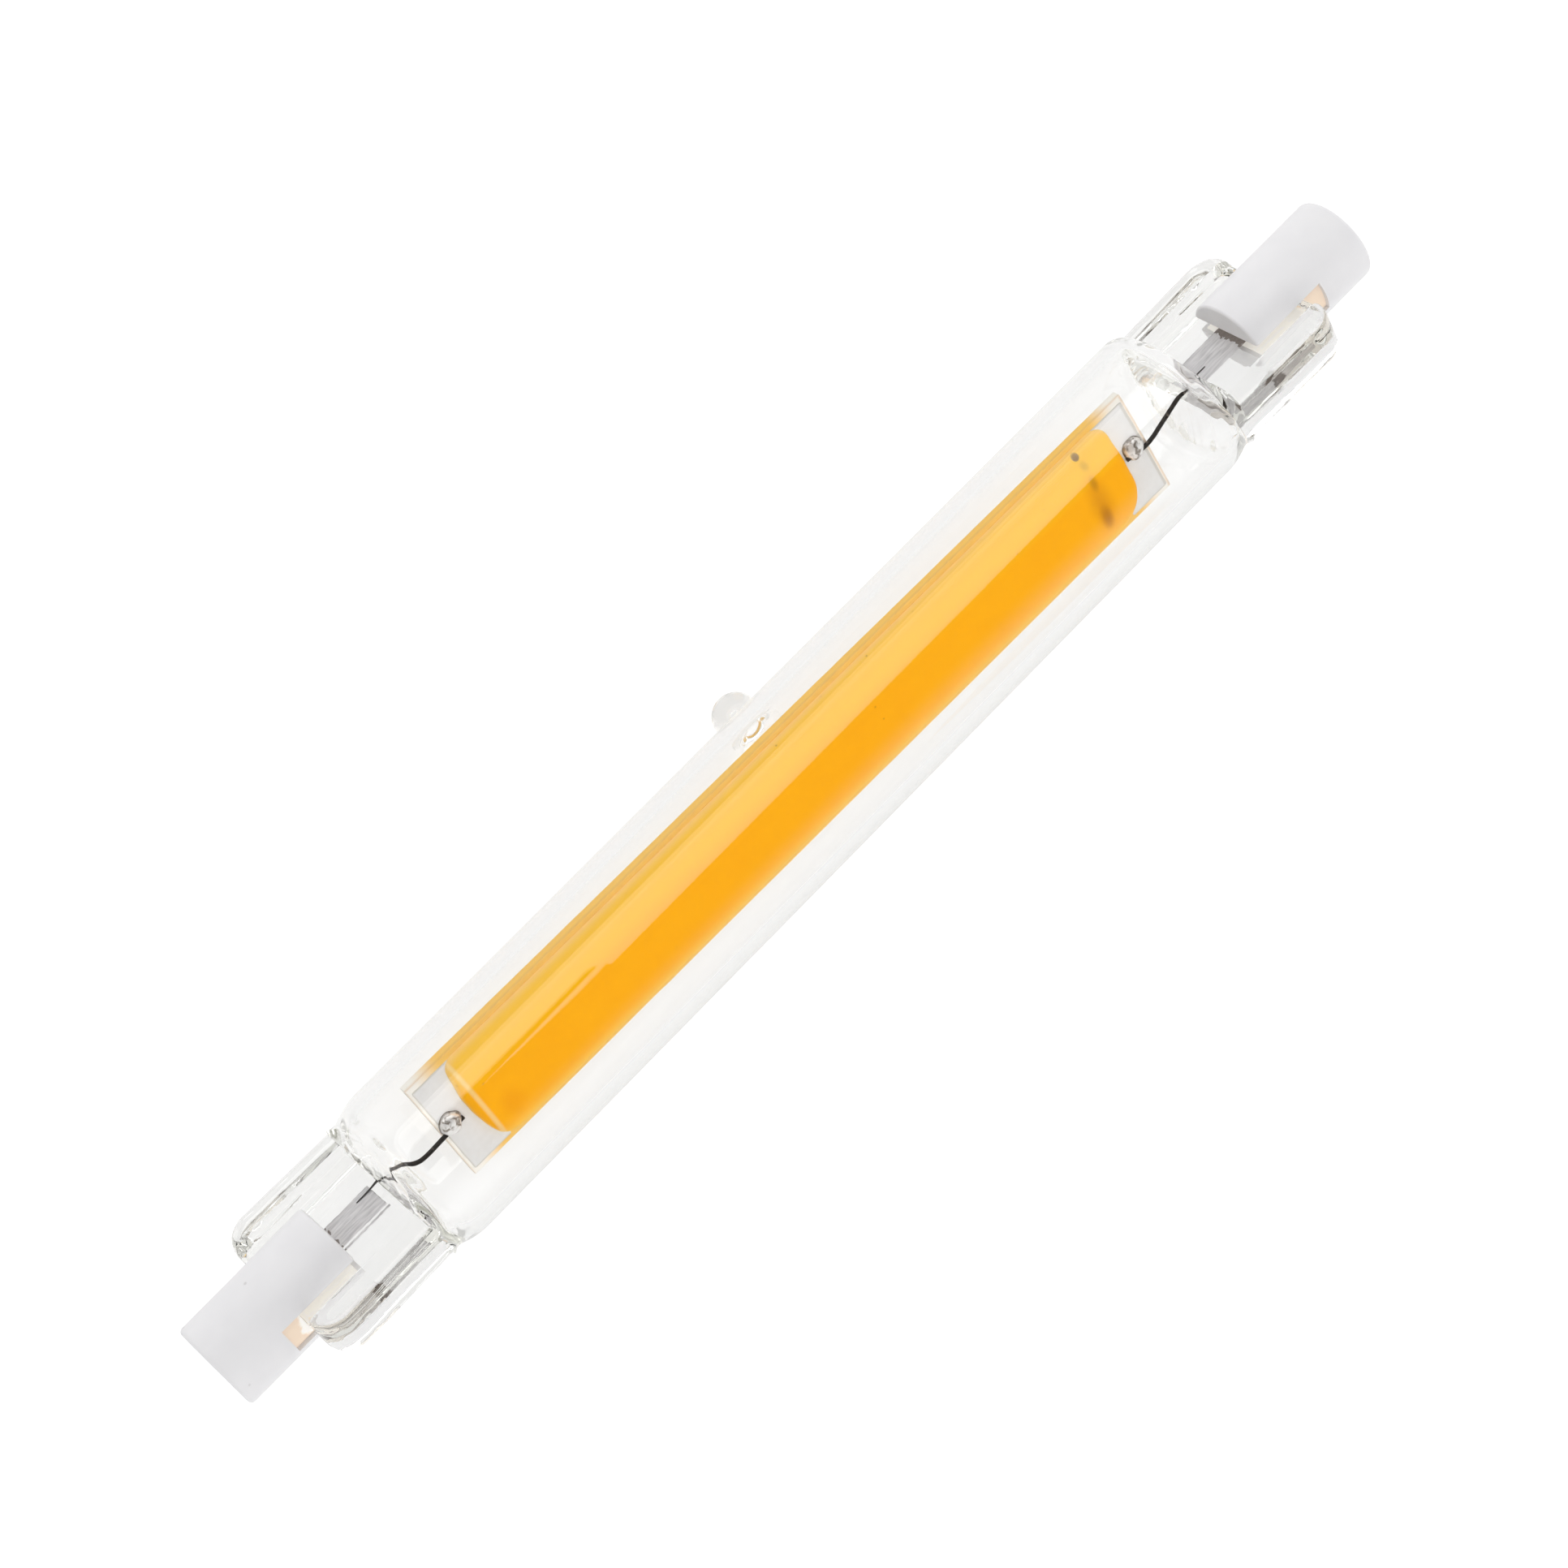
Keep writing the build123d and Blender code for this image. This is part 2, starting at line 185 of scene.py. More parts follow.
painted_gel_glow = add(
    tree,
    "ShaderNodeMix",
    {0: gel_glow_reach.outputs[0], 6: pale.outputs[2], 7: linear("#FFC845")},
    data_type="RGBA",
)
# Painted shade: a darker orange-tan towards the top of the side and end faces.
out = add(tree, "ShaderNodeMath", {0: across.outputs["Y"]}, operation="ABSOLUTE")
long_edge = add(
    tree,
    "ShaderNodeMapRange",
    {"Value": out.outputs[0], "From Min": board_half_width - 0.07, "From Max": board_half_width - 0.03},
)
end_edge = add(
    tree,
    "ShaderNodeMapRange",
    {"Value": along.outputs[0], "From Min": board_right - 0.26, "From Max": board_right - 0.16},
)
low = add(tree, "ShaderNodeMapRange", {"Value": across.outputs["Z"], "From Min": 0.1, "From Max": 0.34})
painted_edge_shade = add(
    tree,
    "ShaderNodeMath",
    {0: long_edge.outputs[0], 1: end_edge.outputs[0]},
    operation="MAXIMUM",
)
painted_edge_shade = add(tree, "ShaderNodeMath", {0: painted_edge_shade.outputs[0], 1: low.outputs[0]}, operation="MULTIPLY")
painted_edge_shade = add(tree, "ShaderNodeMath", {0: painted_edge_shade.outputs[0], 1: 0.35}, operation="MULTIPLY")
toned = add(
    tree,
    "ShaderNodeMix",
    {0: painted_edge_shade.outputs[0], 6: painted_gel_glow.outputs[2], 7: linear("#D59F52")},
    data_type="RGBA",
)
rough = add(tree, "ShaderNodeBump", {"Height": grain.outputs["Fac"], "Strength": 0.1, "Distance": 0.00002})
surface = add(
    tree,
    "ShaderNodeBsdfPrincipled",
    {
        "Base Color": toned.outputs[2],
        "Roughness": 0.55,
        "IOR": 1.6,
        "Specular IOR Level": 0.3,
        "Normal": rough.outputs[0],
    },
)
add(tree, "ShaderNodeOutputMaterial", {"Surface": surface.outputs[0]})

plan = rounded_plan(board_left, board_right, board_half_width, corner=0.06, step=0.5, waver=0.012)
heights = (-board_top, board_bevel - board_top, board_top - board_bevel, board_top)
points, faces = slab(plan, heights, (board_bevel, 0, 0, board_bevel))
board = moulded("ceramic_light_board", points, faces, board_place, alumina, ["light_board"])
board.data.shade_flat()


# The printed pads: silver paste screened on the board's two ends and fired, 0.03 mm thick.
# Fired silver is a matt, cool pale grey, with a darker fringe where the paste ran thin at its edge.
pad_length = 3.6
pad_half_width = 4.35
pad_margin = 0.25
pad_top = 0.42
pad_round = 0.01
pad_run_out = 0.03
pads = {-1: board_left + pad_margin, 1: board_right - pad_margin}

silver, tree = new_finish("printed_silver_fired")
place_mm = add(tree, "ShaderNodeAttribute", attribute_name="own_mm")
across = add(tree, "ShaderNodeSeparateXYZ", {"Vector": place_mm.outputs["Vector"]})
mottle = add(tree, "ShaderNodeTexNoise", {"Vector": place_mm.outputs["Vector"], "Scale": 2.5, "Detail": 5.0})
grey = add(
    tree,
    "ShaderNodeMix",
    {0: mottle.outputs["Fac"], 6: linear("#EAE9E8"), 7: linear("#DEDCDA")},
    data_type="RGBA",
)
out = add(tree, "ShaderNodeMath", {0: across.outputs["Y"]}, operation="ABSOLUTE")
fringe = add(
    tree,
    "ShaderNodeMapRange",
    {"Value": out.outputs[0], "From Min": pad_half_width - 0.16, "From Max": pad_half_width - 0.05},
)
along = add(tree, "ShaderNodeMath", {0: across.outputs["X"]}, operation="ABSOLUTE")
end_fringe = add(
    tree,
    "ShaderNodeMapRange",
    {"Value": along.outputs[0], "From Min": 36.0, "From Max": 36.12},
)
fringe = add(
    tree,
    "ShaderNodeMath",
    {0: fringe.outputs[0], 1: end_fringe.outputs[0]},
    operation="MAXIMUM",
)
fringe = add(tree, "ShaderNodeMath", {0: fringe.outputs[0], 1: 0.5}, operation="MULTIPLY")
edged = add(
    tree,
    "ShaderNodeMix",
    {0: fringe.outputs[0], 6: grey.outputs[2], 7: linear("#B9B2A4")},
    data_type="RGBA",
)
surface = add(
    tree,
    "ShaderNodeBsdfPrincipled",
    {"Base Color": edged.outputs[2], "Roughness": 0.5, "Specular IOR Level": 0.4},
)
add(tree, "ShaderNodeOutputMaterial", {"Surface": surface.outputs[0]})

for side, word in ((-1, "left"), (1, "right")):
    ends = sorted((pads[side], pads[side] - side * pad_length))
    plan = rounded_plan(*ends, pad_half_width, corner=0.15, step=0.3, waver=0.03)
    points, faces = slab(plan, (board_top, pad_top - pad_round, pad_top), (0, 0, pad_run_out))
    moulded(f"printed_{word}_pad", points, faces, board_place, silver, [f"{word}_pad"])


# The gel: phosphor powder in clear silicone, poured along the board over the chips and cured.
# It is an orange-yellow bar with a soft crown, yellower and paler where it thins out at its edges.
gel_left = -33.75
gel_right = 34.1
gel_half_width = 4.4
gel_height = 1.08
gel_corners = {(-1, 1): 0.8, (-1, -1): 1.2, (1, 1): 1.4, (1, -1): 3.1}
gel_bulges = {-1: 0.75, 1: 0.1}
gel_end_rise = 1.5
gel_lip = 0.16
gel_side_power = 2.8
gel_end_power = 2.2
gel_sink = 0.02

silicone, tree = new_finish("phosphor_silicone_cured")
place_mm = add(tree, "ShaderNodeAttribute", attribute_name="own_mm")
across = add(tree, "ShaderNodeSeparateXYZ", {"Vector": place_mm.outputs["Vector"]})
streak_place = add(
    tree,
    "ShaderNodeMapping",
    {"Vector": place_mm.outputs["Vector"], "Scale": (0.02, 2.2, 1.0)},
)
streaks = add(tree, "ShaderNodeTexNoise", {"Vector": streak_place.outputs[0], "Scale": 1.0, "Detail": 4.0})
clouds = add(tree, "ShaderNodeTexNoise", {"Vector": place_mm.outputs["Vector"], "Scale": 0.35, "Detail": 3.0})
deep = add(
    tree,
    "ShaderNodeMix",
    {0: clouds.outputs["Fac"], 6: linear("#FFB300"), 7: linear("#FCAB00")},
    data_type="RGBA",
)
upper = add(
    tree,
    "ShaderNodeMapRange",
    {"Value": across.outputs["Y"], "From Min": 1.2, "From Max": 2.8},
    interpolation_type="SMOOTHSTEP",
)
yellowed = add(
    tree,
    "ShaderNodeMix",
    {0: streaks.outputs["Fac"], 6: linear("#F8BE0A"), 7: linear("#FDC416")},
    data_type="RGBA",
)
body_colour = add(
    tree,
    "ShaderNodeMix",
    {0: upper.outputs[0], 6: deep.outputs[2], 7: yellowed.outputs[2]},
    data_type="RGBA",
)
lower = add(
    tree,
    "ShaderNodeMapRange",
    {"Value": across.outputs["Y"], "From Min": -2.9, "From Max": -4.3},
)
body_colour = add(
    tree,
    "ShaderNodeMix",
    {0: lower.outputs[0], 6: body_colour.outputs[2], 7: linear("#FDC730")},
    data_type="RGBA",
)
blob = smudge(tree, place_mm.outputs["Vector"], (-31.1, -1.4), (1.5, 1.9), 10, 0.9)
blob = add(tree, "ShaderNodeMath", {0: blob, 1: 0.5}, operation="MULTIPLY")
body_colour = add(
    tree,
    "ShaderNodeMix",
    {0: blob.outputs[0], 6: body_colour.outputs[2], 7: linear("#F19A00")},
    data_type="RGBA",
)
# Painted shadows of the feed chips under the gel: soft brown marks drawn into the gel's colour.
for middle, size, turn, soft, amount, colour in (
    ((30.5, -0.3), (1.5, 3.6), -2, 1.0, 0.75, "#D98E08"),
    ((30.35, -1.6), (0.75, 1.6), -4, 0.9, 0.75, "#B06C04"),
    ((30.75, 1.5), (0.5, 1.0), -6, 0.9, 0.6, "#B87A10"),
    ((30.78, 4.0), (0.36, 0.34), 0, 0.35, 0.85, "#6A4514"),
    ((30.9, 3.1), (0.5, 0.7), 20, 0.9, 0.35, "#A87420"),
):
    mark = smudge(tree, place_mm.outputs["Vector"], middle, size, turn, soft)
    mark = add(tree, "ShaderNodeMath", {0: mark, 1: amount}, operation="MULTIPLY")
    body_colour = add(
        tree,
        "ShaderNodeMix",
        {0: mark.outputs[0], 6: body_colour.outputs[2], 7: linear(colour)},
        data_type="RGBA",
    )
thin = add(
    tree,
    "ShaderNodeMapRange",
    {"Value": across.outputs["Z"], "From Min": 0.42, "From Max": 0.95, "To Min": 1.0, "To Max": 0.0},
    interpolation_type="SMOOTHSTEP",
)
body_colour = add(
    tree,
    "ShaderNodeMix",
    {0: thin.outputs[0], 6: body_colour.outputs[2], 7: linear("#F7CB70")},
    data_type="RGBA",
)
from_left = add(tree, "ShaderNodeMath", {0: across.outputs["X"], 1: gel_left}, operation="SUBTRACT")
band = add(tree, "ShaderNodeMath", {0: from_left.outputs[0], 1: 0.8}, operation="SUBTRACT")
band = add(tree, "ShaderNodeMath", {0: band.outputs[0]}, operation="ABSOLUTE")
band = add(
    tree,
    "ShaderNodeMapRange",
    {"Value": band.outputs[0], "From Min": 0.05, "From Max": 0.28, "To Min": 0.6, "To Max": 0.0},
    interpolation_type="SMOOTHSTEP",
)
body_colour = add(
    tree,
    "ShaderNodeMix",
    {0: band.outputs[0], 6: body_colour.outputs[2], 7: linear("#FADB9C")},
    data_type="RGBA",
)
specks = add(tree, "ShaderNodeTexVoronoi", {"Vector": place_mm.outputs["Vector"], "Scale": 0.55})
speck = add(
    tree,
    "ShaderNodeMapRange",
    {"Value": specks.outputs["Distance"], "From Min": 0.02, "From Max": 0.05, "To Min": 0.6, "To Max": 0.0},
)
body_colour = add(
    tree,
    "ShaderNodeMix",
    {0: speck.outputs[0], 6: body_colour.outputs[2], 7: linear("#A5640C")},
    data_type="RGBA",
)
surface = add(
    tree,
    "ShaderNodeBsdfPrincipled",
    {"Base Color": body_colour.outputs[2], "Roughness": 0.45, "IOR": 1.41, "Specular IOR Level": 0.05},
)
add(tree, "ShaderNodeOutputMaterial", {"Surface": surface.outputs[0]})


def gel_end(side, y):
    """Where the gel ends at y, with its rounded corners and a slightly wavering edge."""
    radius = gel_corners[side, 1 if y > 0 else -1]
    over = max(abs(y) - (gel_half_width - radius), 0)
    back = radius - math.sqrt(max(radius ** 2 - over ** 2, 0))
    back += gel_bulges[side] * ((y - 0.5) / gel_half_width) ** 2
    waver = 0.08 * noise.noise(Vector((side * 5, y * 0.6, 0)))
    return (gel_left + back if side < 0 else gel_right - back) + waver


near_end = (0, 0.04, 0.1, 0.18, 0.28, 0.4, 0.55, 0.7, 0.85, 1.0, 1.2, 1.45, 1.75, 2.1, 2.6, 3.3)
long_steps = 60
row_count = 47
rows = []
for row in range(row_count):
    y = gel_half_width * math.sin(math.pi / 2 * (2 * row / (row_count - 1) - 1))
    low_x, high_x = gel_end(-1, y), gel_end(1, y)
    start, stop = low_x + near_end[-1], high_x - near_end[-1]
    xs = [low_x + a for a in near_end]
    xs += [start + (stop - start) * i / long_steps for i in range(1, long_steps)]
    xs += [high_x - a for a in reversed(near_end)]
    line = []
    for x in xs:
        end = min(x - low_x, high_x - x)
        rise = min(end / gel_end_rise, 1)
        side_drop = max(1 - (abs(y) / gel_half_width) ** gel_side_power, 0) ** 0.5
        height = gel_height * side_drop * max(1 - (1 - rise) ** gel_end_power, 0) ** 0.5
        inset = min(end, gel_half_width - abs(y))
        height = max(height, gel_lip * min(inset / 0.5, 1) ** 0.5)
        height += 0.012 * noise.noise(Vector((x * 0.5, y * 0.9, 2))) * min(inset, 1)
        line.append((x, y, board_top + height))
    rows.append(line)
top_points = np.array(rows)
columns = top_points.shape[1]
under_points = top_points.copy()
under_points[:, :, 2] = board_top - gel_sink
points = np.vstack([top_points.reshape(-1, 3), under_points.reshape(-1, 3)])
under = row_count * columns
faces = []
for r in range(row_count - 1):
    for c in range(columns - 1):
        a = r * columns + c
        faces.append((a, a + 1, a + columns + 1, a + columns))
        faces.append((under + a, under + a + columns, under + a + columns + 1, under + a + 1))
edge_loop = list(range(columns))
edge_loop += [r * columns + columns - 1 for r in range(1, row_count)]
edge_loop += [(row_count - 1) * columns + c for c in range(columns - 2, -1, -1)]
edge_loop += [r * columns for r in range(row_count - 2, 0, -1)]
for a, b in zip(edge_loop, edge_loop[1:] + edge_loop[:1]):
    faces.append((b, a, under + a, under + b))
moulded("phosphor_gel_strip", points, faces, board_place, silicone, ["phosphor_gel"])


# The chips and lands under the gel: sawn blue die on fired silver, and three black moulded feed chips.
# The gel hides the die. The feed chips show only as brown shadows, which the gel's finish draws.
finishes = {"printed_lands": silver}
for name, finish, near, far, metal, roughness in (
    ("light_chips", "gallium_nitride_sawn", "#8D9FC4", "#5E74A6", 0.0, 0.15),
    ("rectifier_chip", "epoxy_moulded_black", "#1C1C1E", "#2A2A2B", 0.0, 0.55),
):
    material, tree = new_finish(finish)
    where = add(tree, "ShaderNodeTexCoord")
    grain = add(
        tree,
        "ShaderNodeTexNoise",
        {"Vector": where.outputs["Object"], "Scale": 4000.0, "Detail": 3.0},
    )
    tone = add(
        tree,
        "ShaderNodeMix",
        {0: grain.outputs["Fac"], 6: linear(near), 7: linear(far)},
        data_type="RGBA",
    )
    surface = add(
        tree,
        "ShaderNodeBsdfPrincipled",
        {"Base Color": tone.outputs[2], "Metallic": metal, "Roughness": roughness},
    )
    add(tree, "ShaderNodeOutputMaterial", {"Surface": surface.outputs[0]})
    finishes[name] = material
finishes["driver_chip"] = finishes["rectifier_chip"]
finishes["series_resistor"] = finishes["rectifier_chip"]


# The solder joints: tin solder reflowed over the wire's end on each pad, with clear flux left round it.
# They are bright, rounded and a little lumpy. Their light and dark swirls are partly dull and bright solder
# and partly painted reflections, and the dark ring at their foot is painted shade.
solder_radius = 0.96
solder_height = 0.7
solder_toe = 0.04
dome_steps = 12
solder_places = {-1: (board_left + 1.0, 0.35), 1: (board_right - 1.25, 0.55)}

tin, tree = new_finish("tin_solder_reflowed")
place_mm = add(tree, "ShaderNodeAttribute", attribute_name="own_mm")
across = add(tree, "ShaderNodeSeparateXYZ", {"Vector": place_mm.outputs["Vector"]})
# Partly painted reflections: light and dark swirls, which are also the solder's dull and bright patches.
swirl = add(
    tree,
    "ShaderNodeTexNoise",
    {"Vector": place_mm.outputs["Vector"], "Scale": 1.6, "Detail": 2.0, "Distortion": 1.5},
)
dull_and_sheen_patches = add(
    tree,
    "ShaderNodeMapRange",
    {"Value": swirl.outputs["Fac"], "From Min": 0.47, "From Max": 0.62},
)
bright = add(
    tree,
    "ShaderNodeMix",
    {0: dull_and_sheen_patches.outputs[0], 6: linear("#F1EFED"), 7: linear("#8F867D")},
    data_type="RGBA",
)
# Painted shade: a dark ring round the foot of each joint.
painted_foot_shade = add(
    tree,
    "ShaderNodeMapRange",
    {
        "Value": across.outputs["Z"],
        "From Min": pad_top + 0.02,
        "From Max": pad_top + 0.3,
        "To Min": 0.85,
        "To Max": 0,
    },
    interpolation_type="SMOOTHSTEP",
)
foot_shaded = add(
    tree,
    "ShaderNodeMix",
    {0: painted_foot_shade.outputs[0], 6: bright.outputs[2], 7: linear("#5F5145")},
    data_type="RGBA",
)
surface = add(
    tree,
    "ShaderNodeBsdfPrincipled",
    {"Base Color": foot_shaded.outputs[2], "Metallic": 0.4, "Roughness": 0.25},
)
add(tree, "ShaderNodeOutputMaterial", {"Surface": surface.outputs[0]})


def turned(profile, count):
    """A closed skin turned about Z from (radius, z) pairs, the first and last of them on the axis."""
    points = [(0, 0, profile[0][1])]
    for radius, z in profile[1:-1]:
        for i in range(count):
            a = 2 * math.pi * i / count
            points.append((radius * math.cos(a), radius * math.sin(a), z))
    points.append((0, 0, profile[-1][1]))
    faces = []
    rings = len(profile) - 2
    last = len(points) - 1
    for i in range(count):
        j = (i + 1) % count
        faces.append((0, 1 + j, 1 + i))
        for k in range(rings - 1):
            low, high = 1 + k * count, 1 + (k + 1) * count
            faces.append((low + i, low + j, high + j, high + i))
        faces.append((last, last - count + i, last - count + j))
    return np.array(points), faces


for side, word in ((-1, "left"), (1, "right")):
    dome = [
        (0, pad_top),
        (0.5 * solder_radius, pad_top),
        (solder_radius, pad_top),
        (0.99 * solder_radius, pad_top + solder_toe),
    ]
    for i in range(1, dome_steps):
        a = math.pi / 2 * i / dome_steps
        lift = solder_height * (0.08 + 0.92 * math.sin(a))
        dome.append((0.95 * solder_radius * math.cos(a), pad_top + lift))
    dome.append((0, pad_top + solder_height))
    points, faces = turned(dome, 40)
    for p in points:
        lump = noise.noise(Vector((p[0] * 1.4 + side * 3, p[1] * 1.4, p[2] * 1.2)))
        p[:2] *= 1 + 0.1 * lump
        p[2] += 0.07 * lump * min(1, (p[2] - pad_top) * 3)
        p[:2] += solder_places[side]
    moulded(f"{word}_solder_joint", points, faces, board_place, tin, [f"{word}_solder"])


# The inner leads: soft iron-nickel wire, 0.36 mm thick, welded flat on the foil and dipped in the solder.
# The hot press has scaled them near black, with a few bright scrapes.
lead_r = 0.18
lead_weld_y = {-1: 1.0, 1: -0.35}
lead_bends = {-1: (-40.3, 0.7, 0.5), 1: (40.5, -0.1, 0.5)}
lead_half_ways = {-1: (-38.8, 0.0, 0.48), 1: (38.48, -0.5, 0.52)}
lead_drops = {-1: 0.38, 1: 0.5}
lead_radii = (0.05, 0.08, 0.13, lead_r, lead_r, lead_r, lead_r)
foil_start = 42.5
foil_end = 51.0
lead_on_foil = 1.4
cavity_end = 41.2
seal_place = Matrix.Rotation(math.radians(-43.0), 4, "X")

scale, tree = new_finish("drawn_wire_scaled")
where = add(tree, "ShaderNodeTexCoord")
patches = add(tree, "ShaderNodeTexNoise", {"Vector": where.outputs["Object"], "Scale": 1800.0, "Detail": 4.0})
worn = add(
    tree,
    "ShaderNodeMapRange",
    {"Value": patches.outputs["Fac"], "From Min": 0.6, "From Max": 0.7},
)
tone = add(
    tree,
    "ShaderNodeMix",
    {0: worn.outputs[0], 6: linear("#2A231E"), 7: linear("#7D7267")},
    data_type="RGBA",
)
surface = add(
    tree,
    "ShaderNodeBsdfPrincipled",
    {"Base Color": tone.outputs[2], "Metallic": 0.6, "Roughness": 0.4},
)
add(tree, "ShaderNodeOutputMaterial", {"Surface": surface.outputs[0]})
finishes["left_outer_lead"] = scale
finishes["right_outer_lead"] = scale


def wire(route, radii, per_run, sides):
    """A closed round wire through the points of a route, with a radius at each point."""
    spots, sizes = [], []
    for i in range(len(route) - 1):
        before = route[max(i - 1, 0)]
        a, b = route[i], route[i + 1]
        after = route[min(i + 2, len(route) - 1)]
        for k in range(per_run):
            t = k / per_run
            bend = 2 * a + (b - before) * t + (2 * before - 5 * a + 4 * b - after) * t ** 2
            spots.append(0.5 * (bend + (3 * a - before - 3 * b + after) * t ** 3))
            sizes.append(radii[i] + (radii[i + 1] - radii[i]) * t)
    spots.append(route[-1])
    sizes.append(radii[-1])
    points, faces = [], []
    out = Vector((0, 0, 1))
    for k, spot in enumerate(spots):
        ahead = (spots[min(k + 1, len(spots) - 1)] - spots[max(k - 1, 0)]).normalized()
        out = (out - ahead * out.dot(ahead)).normalized()
        beside = ahead.cross(out)
        for i in range(sides):
            a = 2 * math.pi * i / sides
            points.append(spot + sizes[k] * (math.cos(a) * out + math.sin(a) * beside))
    for k in range(len(spots) - 1):
        for i in range(sides):
            j = (i + 1) % sides
            faces.append((k * sides + i, k * sides + j, (k + 1) * sides + j, (k + 1) * sides + i))
    faces.append(tuple(reversed(range(sides))))
    faces.append(tuple((len(spots) - 1) * sides + i for i in range(sides)))
    return np.array([tuple(p) for p in points]), faces


for side, word in ((-1, "left"), (1, "right")):
    seat = lead_r + 0.02
    x, y = solder_places[side]
    weld_y = lead_weld_y[side]
    on_foil = seal_place @ Vector((side * (foil_start + lead_on_foil), weld_y, 0.07))
    weld = seal_place @ Vector((side * (foil_start + 0.15), weld_y, 0.1))
    in_glass = seal_place @ Vector((side * (cavity_end + 0.2), weld_y, seat))
    bend, half_way = Vector(lead_bends[side]), Vector(lead_half_ways[side])
    dip = board_place @ (Vector((x + side * 1.1, y - lead_drops[side], 0.66)) * mm) / mm
    tail = board_place @ (Vector((x - side * 0.98, y - 0.3, 0.6)) * mm) / mm
    route = [on_foil, weld, in_glass, bend, half_way, dip, tail]
    points, faces = wire(route, lead_radii, per_run=10, sides=14)
    name = f"{word}_inner_lead"
    moulded(f"{word}_inner_lead_wire", points, faces, Matrix.Identity(4), scale, [name])


# The foils: molybdenum rolled to 0.04 mm and etched thin at the edges, so that glass seals to it.
# They are grey with fine rolling lines, buckled by the press, and brown with oxide next to the caps.
# The left one has torn lengthwise near one edge.
foil_half_width = 1.475
foil_half_thickness = 0.02
foil_tear = (-1.3, -1.08)
foil_steps = 90

molybdenum, tree = new_finish("molybdenum_rolled_etched")
place_mm = add(tree, "ShaderNodeAttribute", attribute_name="own_mm")
across = add(tree, "ShaderNodeSeparateXYZ", {"Vector": place_mm.outputs["Vector"]})
line_place = add(tree, "ShaderNodeMapping", {"Vector": place_mm.outputs["Vector"], "Scale": (0.5, 4.0, 1.0)})
lines = add(tree, "ShaderNodeTexNoise", {"Vector": line_place.outputs[0], "Scale": 1.2, "Detail": 6.0})
shade = add(
    tree,
    "ShaderNodeMapRange",
    {"Value": lines.outputs["Fac"], "From Min": 0.35, "From Max": 0.68},
)
tone = add(
    tree,
    "ShaderNodeMix",
    {0: shade.outputs[0], 6: linear("#F1EFF1"), 7: linear("#CBC9CC")},
    data_type="RGBA",
)
along = add(tree, "ShaderNodeMath", {0: across.outputs["X"]}, operation="ABSOLUTE")
ragged = add(tree, "ShaderNodeTexNoise", {"Vector": place_mm.outputs["Vector"], "Scale": 2.2, "Detail": 4.0})
frayed = add(
    tree,
    "ShaderNodeMath",
    {0: ragged.outputs["Fac"], 1: 1.4, 2: -0.7},
    operation="MULTIPLY_ADD",
)
reach = add(tree, "ShaderNodeMath", {0: along.outputs[0], 1: frayed.outputs[0]}, operation="ADD")
oxide = add(tree, "ShaderNodeMath", {0: reach.outputs[0], 1: 47.2, 2: 0.45}, operation="COMPARE")
oxide = add(tree, "ShaderNodeMath", {0: oxide.outputs[0], 1: 0.8}, operation="MULTIPLY")
tone = add(
    tree,
    "ShaderNodeMix",
    {0: oxide.outputs[0], 6: tone.outputs[2], 7: linear("#5A4536")},
    data_type="RGBA",
)
folds = add(tree, "ShaderNodeBump", {"Height": lines.outputs["Fac"], "Strength": 0.5, "Distance": 0.00008})
surface = add(
    tree,
    "ShaderNodeBsdfPrincipled",
    {"Base Color": tone.outputs[2], "Metallic": 0.4, "Roughness": 0.42, "Normal": folds.outputs[0]},
)
add(tree, "ShaderNodeOutputMaterial", {"Surface": surface.outputs[0]})


def leaf(side, low_y, high_y, start):
    """One buckled strip of foil with ragged edges, as points and faces."""
    points = []
    widthwise = max(4, round((high_y - low_y) / 0.12))
    for i in range(foil_steps + 1):
        x = start + (foil_end - start) * i / foil_steps
        tear = 0.05 * noise.noise(Vector((x * 2.5, side * 9, low_y)))
        notch = 0.04 * noise.noise(Vector((x * 4.0, side * 5, high_y)))
        for k in range(widthwise + 1):
            t = k / widthwise
            y = low_y + tear + (high_y + notch - low_y - tear) * t
            edge = 0.06 * noise.noise(Vector((y * 3, side * 4, 1))) if i == 0 else 0
            z = 0.05 * noise.noise(Vector((x * 0.6, y * 1.5, side * 2)))
            points.append((side * (x + edge), y, z))
    top = np.array(points)
    below = top - (0, 0, foil_half_thickness)
    top = top + (0, 0, foil_half_thickness)
    row = widthwise + 1
    total = len(top)
    faces = []
    for i in range(foil_steps):
        for k in range(widthwise):
            a = i * row + k
            faces.append((a, a + row, a + row + 1, a + 1))
            faces.append((total + a, total + a + 1, total + a + row + 1, total + a + row))
    loop = [i * row for i in range(foil_steps + 1)]
    loop += [foil_steps * row + k for k in range(1, row)]
    loop += [i * row + row - 1 for i in range(foil_steps - 1, -1, -1)]
    loop += range(row - 2, 0, -1)
    for a, b in zip(loop, loop[1:] + loop[:1]):
        faces.append((b, a, total + a, total + b))
    if side < 0:
        faces = [tuple(reversed(face)) for face in faces]
    return np.vstack([top, below]), faces


for side, word, strips in (
    (
        -1,
        "left",
        ((foil_tear[1], foil_half_width, foil_start), (-foil_half_width, foil_tear[0], foil_start - 0.1)),
    ),
    (1, "right", ((-foil_half_width, foil_half_width, foil_start),)),
):
    points, faces = np.zeros((0, 3)), []
    for low_y, high_y, start in strips:
        more, more_faces = leaf(side, low_y, high_y, start)
        faces += [tuple(len(points) + q for q in face) for face in more_faces]
        points = np.vstack([points, more])
    name = f"{word}_foil"
    moulded(f"{word}_seal_foil", points, faces, seal_place, molybdenum, [name])


